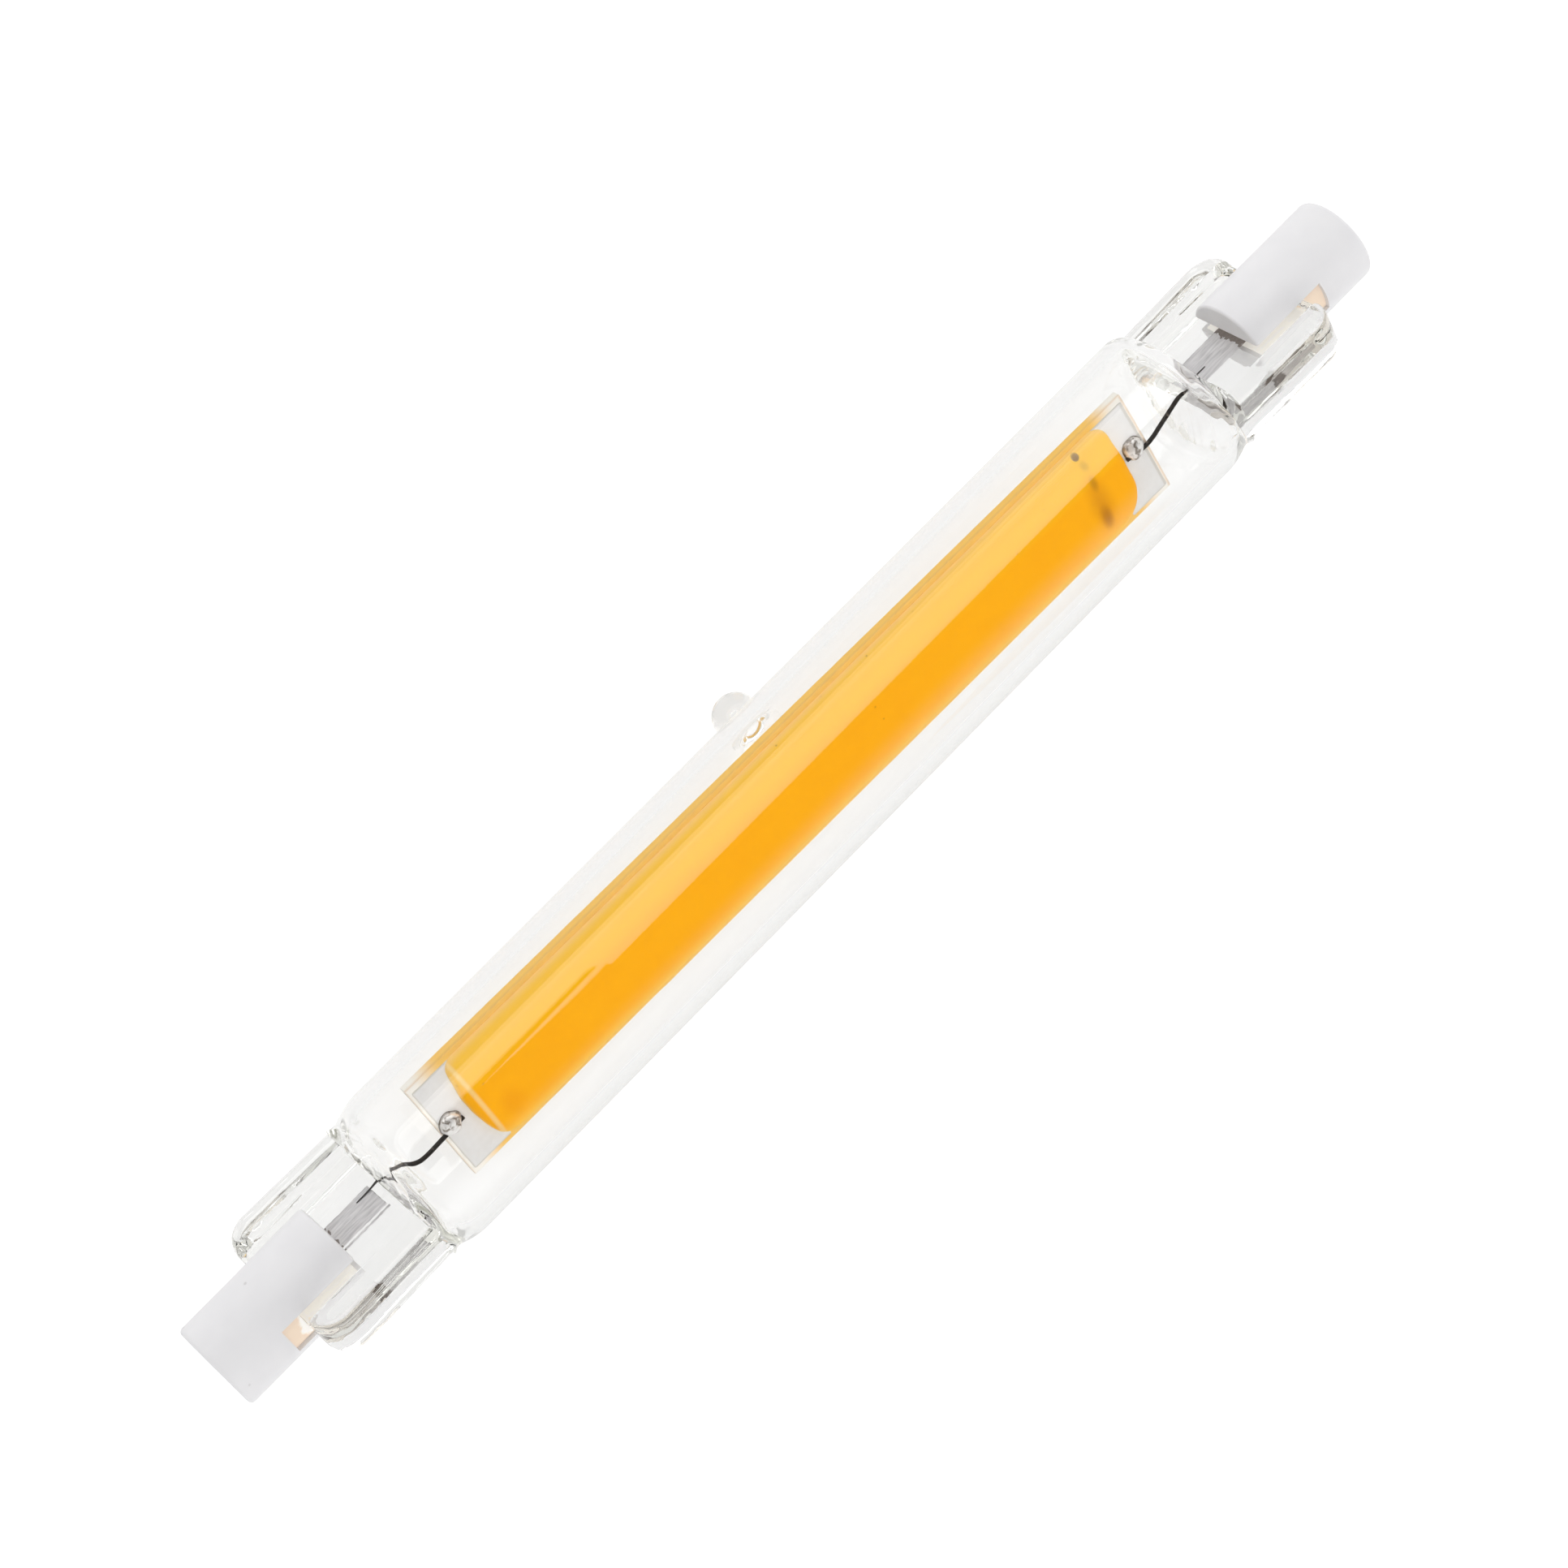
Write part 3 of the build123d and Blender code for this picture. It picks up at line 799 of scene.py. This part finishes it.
# The glass envelope: one drawn tube of hard glass, its ends softened and pressed flat by jaws.
# The jaws leave a web between two rims, with fine lines along their stroke and squeezed folds behind.
# Under it is the stub that the tube was pumped through, melted off to a ball.
tube_r = 6.6
bore_r = 5.6
seal_outer = 52.25
seal_inner = 41.75
shoulder_start = {-1: 38.5, 1: 39.7}
neck = 6.88
neck_spread = 0.27
rim_half_height = 1.98
web_half_height = 1.2
web_edge = 0.3
flank_at = 4.66
flank_slope = 3.07
seal_corner = 2.4
seal_edge = 0.8
seal_boxiness = 10
shoulder_flare = 0.97
jaw_slope = 5.0
jaw_crease = 0.07
bore_end_half_height = 0.3
outer_quarter = 52
bore_quarter = 40

# A ray that is still caught in the thick seals after this many turns goes straight out to the room,
# because real glass would show the pale table there and not a black spot.
most_turns = 5.5

glass, tree = new_finish("hard_glass_fire_polished")
place_mm = add(tree, "ShaderNodeAttribute", attribute_name="own_mm")
drawn = add(tree, "ShaderNodeMapping", {"Vector": place_mm.outputs["Vector"], "Scale": (0.02, 2.0, 2.0)})
lines = add(tree, "ShaderNodeTexNoise", {"Vector": drawn.outputs[0], "Scale": 1.0, "Detail": 3.0})
ripple = add(tree, "ShaderNodeBump", {"Height": lines.outputs["Fac"], "Strength": 0.05, "Distance": 0.00002})
surface = add(
    tree,
    "ShaderNodeBsdfPrincipled",
    {
        "Base Color": linear("#FDFDFD"),
        "Roughness": 0.0,
        "IOR": 1.47,
        "Transmission Weight": 1.0,
        "Normal": ripple.outputs[0],
    },
)
depth_tint = add(tree, "ShaderNodeVolumeAbsorption", {"Color": (0.93, 0.93, 0.915, 1), "Density": 250.0})
path = add(tree, "ShaderNodeLightPath")
let_out = add(
    tree,
    "ShaderNodeMath",
    {0: path.outputs["Ray Depth"], 1: most_turns},
    operation="GREATER_THAN",
)
clear = add(tree, "ShaderNodeBsdfTransparent")
body = add(
    tree,
    "ShaderNodeMixShader",
    {0: let_out.outputs[0], 1: surface.outputs[0], 2: clear.outputs[0]},
)
add(
    tree,
    "ShaderNodeOutputMaterial",
    {"Surface": body.outputs[0], "Volume": depth_tint.outputs[0]},
)


def section(half_width, half_height, boxiness, count, lowered=None, crease=0):
    """One outline across the glass, as points (y, z) at even steps round it.

    A boxiness of 2 is an ellipse, and a higher one is squarer. lowered gives the height that the
    jaws left at y, and crease is the softness of the line where they stopped.
    """
    a = np.linspace(0, math.pi / 2, 500)
    y = half_width * np.cos(a) ** (2 / boxiness)
    z = half_height * np.sin(a) ** (2 / boxiness)
    y[-1] = 0
    if lowered:
        z = np.maximum(-crease * np.logaddexp(-z / crease, -lowered(y) / crease), 0)
    run = np.concatenate([[0], np.cumsum(np.hypot(np.diff(y), np.diff(z)))])
    steps = np.linspace(0, run[-1], count + 1)
    one = np.stack([np.interp(steps, run, y), np.interp(steps, run, z)], axis=1)
    return np.vstack([one[:-1], one[:0:-1] * (-1, 1), one[:-1] * (-1, -1), one[:0:-1] * (1, -1)])


def outer_section(x):
    """The glass's outside at x."""
    a = abs(x)
    start = shoulder_start[1 if x > 0 else -1]
    if a <= start:
        return section(tube_r, tube_r, 2, outer_quarter)
    if a < seal_inner:
        t = (a - start) / (seal_inner - start)
        half_width = tube_r + (neck - tube_r) * t ** 2
        still_round = math.sqrt(1 - shoulder_flare * t ** 2)
        half_height = rim_half_height + (tube_r - rim_half_height) * still_round
        pressed = (tube_r - half_height) / (tube_r - rim_half_height)
        boxiness = 2 + (seal_boxiness - 2) * pressed ** 4
    else:
        half_width = neck + neck_spread * (a - seal_inner) / (seal_outer - seal_inner)
        half_height = rim_half_height
        boxiness = seal_boxiness
    web = web_half_height
    if a > seal_outer - seal_corner:
        half_width += math.sqrt(max(seal_corner ** 2 - (a - seal_outer + seal_corner) ** 2, 0)) - seal_corner
    if a > seal_outer - seal_edge:
        half_height += math.sqrt(max(seal_edge ** 2 - (a - seal_outer + seal_edge) ** 2, 0)) - seal_edge
    if a > seal_outer - web_edge:
        web += math.sqrt(max(web_edge ** 2 - (a - seal_outer + web_edge) ** 2, 0)) - web_edge

    def jaw_mark(y):
        jag = 0.04 * np.sin(y * 2.9) * np.sin(y * 1.3 + 2)
        front = np.maximum(seal_inner + jag - a, 0) * jaw_slope
        return web + np.maximum(np.abs(y) - flank_at, 0) * flank_slope + front

    return section(half_width, half_height, boxiness, outer_quarter, jaw_mark, jaw_crease)


def inner_section(x):
    """The bore at x, down to the thin wedge where it closes."""
    a = abs(x)
    start = shoulder_start[1 if x > 0 else -1]
    t = max((a - start) / (cavity_end - start), 0)
    half_width = bore_r + (neck - tube_r) * t ** 2
    still_round = math.sqrt(max(1 - shoulder_flare * t ** 2, 0))
    half_height = bore_end_half_height + (bore_r - bore_end_half_height) * still_round
    return section(half_width, half_height, 2 + t ** 8, bore_quarter)


def skin(stations, outline_at, swell):
    """A closed skin through the outlines, swollen at each point by swell(x, y, z) along its normal."""
    rings = np.array([np.column_stack([np.full(len(outline_at(x)), x), outline_at(x)]) for x in stations])
    along = np.gradient(rings, axis=0)
    round_it = np.roll(rings, -1, axis=1) - np.roll(rings, 1, axis=1)
    normal = np.cross(round_it, along)
    normal /= np.maximum(np.linalg.norm(normal, axis=2, keepdims=True), 1e-9)
    amount = np.array([[swell(*p) for p in ring] for ring in rings])
    rings = rings + normal * amount[:, :, None]
    n = rings.shape[1]
    faces = []
    for k in range(len(stations) - 1):
        for i in range(n):
            j = (i + 1) % n
            faces.append((k * n + i, k * n + j, (k + 1) * n + j, (k + 1) * n + i))
    last = (len(stations) - 1) * n
    for i in range(n // 2):
        a, b, c, d = i, i + 1, n - i - 1, (n - i) % n
        quad = (a, b, c, d) if i else (a, b, c)
        if b == c:
            quad = (a, b, d)
        faces.append(tuple(reversed(quad)))
        faces.append(tuple(last + q for q in quad))
    return rings.reshape(-1, 3), faces


def smooth_step(value, low, high):
    """0 below low, 1 above high, and an easy curve between them."""
    t = min(max((value - low) / (high - low), 0), 1)
    return t * t * (3 - 2 * t)


def outer_swell(x, y, z):
    """Drawn lines along the tube, and the jaws' stroke lines, grainy bands and small lumps."""
    drawn = 0.0015 * (noise.noise(Vector((x * 0.01, y * 1.4, z * 1.4))) - 1)
    pressed = smooth_step(abs(x), 41.2, 42.4)
    stroke = 0.012 * noise.noise(Vector((x * 0.1, y * 2.6, z * 2.6)))
    stroke += 0.006 * noise.noise(Vector((x * 0.4, y * 6.0 + 20, z * 6.0)))
    band = smooth_step(abs(y), 4.0, 4.4) * (1 - smooth_step(abs(y), 5.2, 5.6)) * smooth_step(abs(x), 43.5, 45)
    grains = 0.035 * abs(noise.noise(Vector((x * 2.2, y * 2.6, z * 2.0))))
    end_wave = 0.03 * noise.noise(Vector((x * 1.6, y * 0.5, z + 9))) * smooth_step(abs(x), 49.5, 51.5)
    squeezed = smooth_step(abs(x), 39.4, 41.0) * (1 - smooth_step(abs(x), 41.8, 42.8))
    lump = 0.03 * noise.noise(Vector((x * 1.1, y * 0.45, z * 0.6 + 7)))
    return drawn * (1 - pressed) + (stroke + band * grains + end_wave) * pressed + lump * squeezed


def inner_swell(x, y, z):
    """The folds where the softened bore was squeezed shut, which lie across the tube."""
    drawn = 0.0015 * noise.noise(Vector((x * 0.01, y * 1.6 + 5, z * 1.6)))
    squeezed = smooth_step(abs(x), 39.3, 40.6)
    fold = 0.13 * noise.noise(Vector((x * 1.3, y * 0.5 + 3, z * 0.5)))
    fold += 0.04 * noise.noise(Vector((x * 2.4, y * 0.9 + 9, z * 1.2)))
    return drawn + fold * squeezed


def stations_between(*stops):
    """Places along the lamp, from (place, step) pairs, mirrored about the middle."""
    found = [stops[0][0]]
    for (low, step), (high, _) in zip(stops, stops[1:]):
        number = max(1, round((high - low) / step))
        found += [low + (high - low) * (i + 1) / number for i in range(number)]
    return [-x for x in reversed(found) if x > 0] + found


def united(first, second):
    """The one closed skin round two closed skins that overlap."""
    pair = []
    for word, (points, faces) in (("body", first), ("stub", second)):
        mesh = bpy.data.meshes.new(word)
        mesh.from_pydata(points.tolist(), [], faces)
        pair.append(bpy.data.objects.new(word, mesh))
        bpy.context.scene.collection.objects.link(pair[-1])
    weld = pair[0].modifiers.new("weld", "BOOLEAN")
    weld.operation = "UNION"
    weld.solver = "EXACT"
    weld.object = pair[1]
    whole = pair[0].evaluated_get(bpy.context.evaluated_depsgraph_get()).to_mesh()
    points = np.array([tuple(v.co) for v in whole.vertices])
    faces = [tuple(f.vertices) for f in whole.polygons]
    for part in pair:
        mesh = part.data
        bpy.data.objects.remove(part)
        bpy.data.meshes.remove(mesh)
    return points, faces


stub_x = 0.98
stub_turn = 54.0
stub_ball = 1.84
stub_middle = 8.1
stub_neck = 1.45
stub_profile = [
    (0, -5.9), (2.2, -5.9), (2.2, -6.3), (2.05, -6.45), (1.9, -6.55), (1.75, -6.66), (1.6, -6.8),
]
start_angle = math.asin(stub_neck / stub_ball)
for i in range(29):
    a = start_angle + (math.pi - start_angle) * i / 28
    stub_profile.append((stub_ball * math.sin(a), -stub_middle + stub_ball * math.cos(a)))
stub_profile[-1] = (0, -stub_middle - stub_ball)
mouth_profile = [
    (0, -4.7), (2.5, -4.7), (2.35, -5.2), (2.15, -5.52), (1.9, -5.75), (1.55, -5.93), (1.2, -6.1),
    (0.95, -6.35), (0.78, -6.65), (0.7, -7.0), (0.6, -7.5), (0.4, -8.1), (0.25, -8.35), (0, -8.45),
]
swing = np.array(Matrix.Rotation(math.radians(43.0 + stub_turn), 3, "X"))

outer_stations = stations_between(
    (0, 1.5),
    (38, 0.25),
    (40.8, 0.1),
    (42.4, 0.18),
    (49.8, 0.16),
    (51.4, 0.08),
    (52.1, 0.03),
    (seal_outer, 0.02),
)
inner_stations = stations_between((0, 1.5), (38, 0.16), (41.0, 0.06), (cavity_end, 0.05))
walls = []
for stations, outline_at, swell, profile in (
    (outer_stations, outer_section, outer_swell, stub_profile),
    (inner_stations, inner_section, inner_swell, mouth_profile),
):
    points, faces = turned(profile[::-1], 72)
    points = points @ swing.T + (stub_x, 0, 0)
    walls.append(united(skin(stations, outline_at, swell), (points, faces)))
(outer_points, outer_faces), (bore_points, bore_faces) = walls
faces = outer_faces + [tuple(len(outer_points) + q for q in reversed(face)) for face in bore_faces]
points = np.vstack([outer_points, bore_points])
replaced = ["glass_envelope"]
envelope = moulded("blown_glass_envelope", points, faces, seal_place, glass, replaced)
envelope.data.set_sharp_from_angle(angle=math.radians(35))


# Steatite caps: pressed and fired, slotted across their jaws to straddle the seal's web.
# The fired skin is smooth and satin, a cool white with faint clouds and the odd dark speck.
steatite, tree = new_finish("fired_steatite_satin")
where = add(tree, "ShaderNodeTexCoord")
clouds = add(tree, "ShaderNodeTexNoise", {"Vector": where.outputs["Object"], "Scale": 500.0, "Detail": 4.0})
tone = add(
    tree,
    "ShaderNodeMix",
    {0: clouds.outputs["Fac"], 6: linear("#EAE9EA"), 7: linear("#E2E1E3")},
    data_type="RGBA",
)
spots = add(tree, "ShaderNodeTexVoronoi", {"Vector": where.outputs["Object"], "Scale": 330.0})
speck = add(
    tree,
    "ShaderNodeMapRange",
    {"Value": spots.outputs["Distance"], "From Min": 0.03, "From Max": 0.06, "To Min": 0.35, "To Max": 0.0},
)
tone = add(
    tree,
    "ShaderNodeMix",
    {0: speck.outputs[0], 6: tone.outputs[2], 7: linear("#A39E98")},
    data_type="RGBA",
)
grit = add(tree, "ShaderNodeTexNoise", {"Vector": where.outputs["Object"], "Scale": 5000.0, "Detail": 3.0})
fired = add(tree, "ShaderNodeBump", {"Height": grit.outputs["Fac"], "Strength": 0.15, "Distance": 0.00002})
surface = add(
    tree,
    "ShaderNodeBsdfPrincipled",
    {
        "Base Color": tone.outputs[2],
        "Roughness": 0.45,
        "IOR": 1.58,
        "Specular IOR Level": 0.35,
        "Normal": fired.outputs[0],
    },
)
add(tree, "ShaderNodeOutputMaterial", {"Surface": surface.outputs[0]})
finishes["left_cap"] = steatite
finishes["right_cap"] = steatite


# The cap cement: silicate paste, brushed into each slot and dried hard round the seal.
# It is matt and pale grey, and turns tan deeper in the slot, past 52.1 mm from the middle.
# The thin ceramic round it lets some light through, which its faint glow stands for.
cement, tree = new_finish("silicate_cement_dried")
where = add(tree, "ShaderNodeTexCoord")
across = add(tree, "ShaderNodeSeparateXYZ", {"Vector": where.outputs["Object"]})
along = add(tree, "ShaderNodeMath", {0: across.outputs["X"]}, operation="ABSOLUTE")
lumps = add(tree, "ShaderNodeTexNoise", {"Vector": where.outputs["Object"], "Scale": 700.0, "Detail": 5.0})
shifted = add(
    tree,
    "ShaderNodeMath",
    {0: lumps.outputs["Fac"], 1: 0.004, 2: -0.002},
    operation="MULTIPLY_ADD",
)
depth = add(tree, "ShaderNodeMath", {0: along.outputs[0], 1: shifted.outputs[0]}, operation="ADD")
# Tan past 52.1 mm from the middle, with a wavering border.
slot_bottom_tan = add(
    tree,
    "ShaderNodeMapRange",
    {"Value": depth.outputs[0], "From Min": 0.0521, "From Max": 0.0525},
)
tone = add(
    tree,
    "ShaderNodeMix",
    {0: slot_bottom_tan.outputs[0], 6: linear("#E2DFDA"), 7: linear("#CDB08F")},
    data_type="RGBA",
)
coarse = add(tree, "ShaderNodeBump", {"Height": lumps.outputs["Fac"], "Strength": 0.6, "Distance": 0.0001})
surface = add(
    tree,
    "ShaderNodeBsdfPrincipled",
    {
        "Base Color": tone.outputs[2],
        "Roughness": 0.85,
        "Normal": coarse.outputs[0],
        "Emission Color": linear("#E2DFDA"),
        "Emission Strength": 0.45,
    },
)
add(tree, "ShaderNodeOutputMaterial", {"Surface": surface.outputs[0]})
finishes["left_cement"] = cement
finishes["right_cement"] = cement


# The contacts: turned brass buttons under nickel plate, pressed into the caps' recesses.
# They are bright and a little yellow, with fine rings from the lathe.
nickel, tree = new_finish("nickel_plate_turned")
where = add(tree, "ShaderNodeTexCoord")
from_axis = add(tree, "ShaderNodeMapping", {"Vector": where.outputs["Object"], "Scale": (0, 1, 1)})
radius = add(tree, "ShaderNodeVectorMath", {0: from_axis.outputs[0]}, operation="LENGTH")
cuts = add(tree, "ShaderNodeMath", {0: radius.outputs["Value"], 1: 40000.0}, operation="MULTIPLY")
cuts = add(tree, "ShaderNodeMath", {0: cuts.outputs[0]}, operation="SINE")
rings = add(tree, "ShaderNodeBump", {"Height": cuts.outputs[0], "Strength": 0.2, "Distance": 0.00001})
tarnish = add(tree, "ShaderNodeTexNoise", {"Vector": where.outputs["Object"], "Scale": 900.0, "Detail": 4.0})
tone = add(
    tree,
    "ShaderNodeMix",
    {0: tarnish.outputs["Fac"], 6: linear("#D6D1C7"), 7: linear("#B9B2A5")},
    data_type="RGBA",
)
surface = add(
    tree,
    "ShaderNodeBsdfPrincipled",
    {"Base Color": tone.outputs[2], "Metallic": 1.0, "Roughness": 0.28, "Normal": rings.outputs[0]},
)
add(tree, "ShaderNodeOutputMaterial", {"Surface": surface.outputs[0]})
finishes["left_contact"] = nickel
finishes["right_contact"] = nickel
for name, material in finishes.items():
    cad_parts[name].data.materials.clear()
    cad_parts[name].data.materials.append(material)


# The stage: a plain white table under a pale room, with a long soft box above the far side.
# The room is darker straight overhead, so that the tube's front mirrors little and stays clear.
floor_mesh = bpy.data.meshes.new("table_top")
reach = 2.0
floor_z = -tube_r * mm
floor_mesh.from_pydata(
    [(-reach, -reach, floor_z), (reach, -reach, floor_z), (reach, reach, floor_z), (-reach, reach, floor_z)],
    [],
    [(0, 1, 2, 3)],
)
table, tree = new_finish("white_table_paper")
path = add(tree, "ShaderNodeLightPath")
seen = add(
    tree,
    "ShaderNodeMath",
    {0: path.outputs["Is Camera Ray"], 1: path.outputs["Is Glossy Ray"]},
    operation="MAXIMUM",
)
seen = add(
    tree,
    "ShaderNodeMath",
    {0: seen.outputs[0], 1: path.outputs["Is Transmission Ray"]},
    operation="MAXIMUM",
)
plain = add(tree, "ShaderNodeBsdfDiffuse", {"Color": (0.85, 0.85, 0.85, 1)})
pale = add(tree, "ShaderNodeBsdfDiffuse", {"Color": (0.3, 0.3, 0.3, 1)})
level = add(tree, "ShaderNodeMix", {0: path.outputs["Is Camera Ray"], 2: 0.7, 3: 0.85})
bright = add(tree, "ShaderNodeEmission", {"Color": (1, 1, 1, 1), "Strength": level.outputs[0]})
both = add(tree, "ShaderNodeAddShader", {0: pale.outputs[0], 1: bright.outputs[0]})
shown = add(tree, "ShaderNodeMixShader", {0: seen.outputs[0], 1: plain.outputs[0], 2: both.outputs[0]})
add(tree, "ShaderNodeOutputMaterial", {"Surface": shown.outputs[0]})
floor_mesh.materials.append(table)
floor = bpy.data.objects.new("table_top", floor_mesh)
bpy.context.scene.collection.objects.link(floor)

world = bpy.data.worlds.new("pale_room")
bpy.context.scene.world = world
world.use_nodes = True
tree = world.node_tree
tree.nodes.clear()
where = add(tree, "ShaderNodeTexCoord")
direction = add(tree, "ShaderNodeSeparateXYZ", {"Vector": where.outputs["Generated"]})
lean = add(
    tree,
    "ShaderNodeMath",
    {0: direction.outputs["Y"], 1: direction.outputs["Z"]},
    operation="ARCTAN2",
)
lean = add(tree, "ShaderNodeMath", {0: lean.outputs[0]}, operation="DEGREES")
near_wall = add(
    tree,
    "ShaderNodeMapRange",
    {"Value": lean.outputs[0], "From Min": -75, "From Max": -38, "To Min": 1.0, "To Max": 0.0},
    interpolation_type="SMOOTHSTEP",
)
far_wall = add(
    tree,
    "ShaderNodeMapRange",
    {"Value": lean.outputs[0], "From Min": 30, "From Max": 50, "To Min": 0.0, "To Max": 0.9},
    interpolation_type="SMOOTHSTEP",
)
ends = add(
    tree,
    "ShaderNodeMapRange",
    {"Value": direction.outputs["Z"], "From Min": 0.3, "From Max": 0.75, "To Min": 0.9, "To Max": 0.0},
    interpolation_type="SMOOTHSTEP",
)
sides = add(tree, "ShaderNodeMath", {0: far_wall.outputs[0], 1: ends.outputs[0]}, operation="MAXIMUM")
path = add(tree, "ShaderNodeLightPath")
# How bright the room is overhead and by the near wall: for matt things in the open, for what glass
# and metal mirror, and for matt things inside the glass, which no lamp reaches directly.
shares = []
for overhead, near in ((0.28, 2.3), (0.12, 1.1), (1.0, 3.2)):
    wall = add(tree, "ShaderNodeMix", {0: near_wall.outputs[0], 2: overhead, 3: near})
    share = add(tree, "ShaderNodeMath", {0: wall.outputs[0], 1: sides.outputs[0]}, operation="MAXIMUM")
    shares.append(share.outputs[0])
on_glass = add(
    tree,
    "ShaderNodeMath",
    {0: path.outputs["Is Glossy Ray"], 1: path.outputs["Is Transmission Ray"]},
    operation="MAXIMUM",
)
in_glass = add(
    tree,
    "ShaderNodeMath",
    {0: path.outputs["Is Transmission Ray"], 1: path.outputs["Diffuse Depth"]},
    operation="MULTIPLY",
    use_clamp=True,
)
strength = add(tree, "ShaderNodeMix", {0: on_glass.outputs[0], 2: shares[0], 3: shares[1]})
strength = add(tree, "ShaderNodeMix", {0: in_glass.outputs[0], 2: strength.outputs[0], 3: shares[2]})
turned_back = add(
    tree,
    "ShaderNodeMath",
    {0: path.outputs["Glossy Depth"], 1: 1.5},
    operation="GREATER_THAN",
)
strength = add(tree, "ShaderNodeMix", {0: turned_back.outputs[0], 2: strength.outputs[0], 3: 0.95})
strength = add(tree, "ShaderNodeMix", {0: path.outputs["Is Camera Ray"], 2: strength.outputs[0], 3: 1.0})
sky = add(tree, "ShaderNodeBackground", {"Color": (1, 1, 1, 1), "Strength": strength.outputs[0]})
add(tree, "ShaderNodeOutputWorld", {"Surface": sky.outputs[0]})


def soft_box(name, low, high, turn):
    """A flat lamp half a metre up that faces down, between two corners (x, y) in metres."""
    lamp = bpy.data.lights.new(name, "AREA")
    lamp.shape = "RECTANGLE"
    lamp.size, lamp.size_y = high[0] - low[0], high[1] - low[1]
    lamp.energy = box_radiance * math.pi * lamp.size * lamp.size_y
    holder = bpy.data.objects.new(name, lamp)
    holder.location = ((low[0] + high[0]) / 2, (low[1] + high[1]) / 2, 0.5)
    holder.rotation_euler = (0, 0, math.radians(turn))
    bpy.context.scene.collection.objects.link(holder)


box_radiance = 1.7
soft_box("soft_box_main", (0.048, 0.031), (0.8, 0.536), 0)
soft_box("soft_box_left", (-0.6, 0.18), (0.048, 0.536), 0)
soft_box("soft_box_flap", (0.0215, 0.075), (0.0665, 0.12), -52)

# The camera looks down at the lamp from above its left end, turned so that the lamp lies slantwise.
camera_mm = (-56.573, -2.124, 270.925)
camera_degrees = (0.5471, 11.5771, -45.3451)
camera = bpy.data.objects.new("camera", bpy.data.cameras.new("camera"))
camera.data.lens = 87.75
camera.data.sensor_width = 36
camera.data.clip_start = 0.01
yaw, pitch, roll = (math.radians(a) for a in camera_degrees)
forward = Vector((math.sin(pitch) * math.cos(yaw), math.sin(yaw), -math.cos(pitch) * math.cos(yaw)))
level = forward.cross(Vector((0, 1, 0))).normalized()
upward = level.cross(forward)
right = math.cos(roll) * level + math.sin(roll) * upward
up = -math.sin(roll) * level + math.cos(roll) * upward
turn = Matrix((right, up, -forward)).transposed().to_4x4()
camera.matrix_world = Matrix.Translation(Vector(camera_mm) * mm) @ turn
bpy.context.scene.collection.objects.link(camera)
bpy.context.scene.camera = camera
bpy.context.scene.view_settings.view_transform = "Standard"
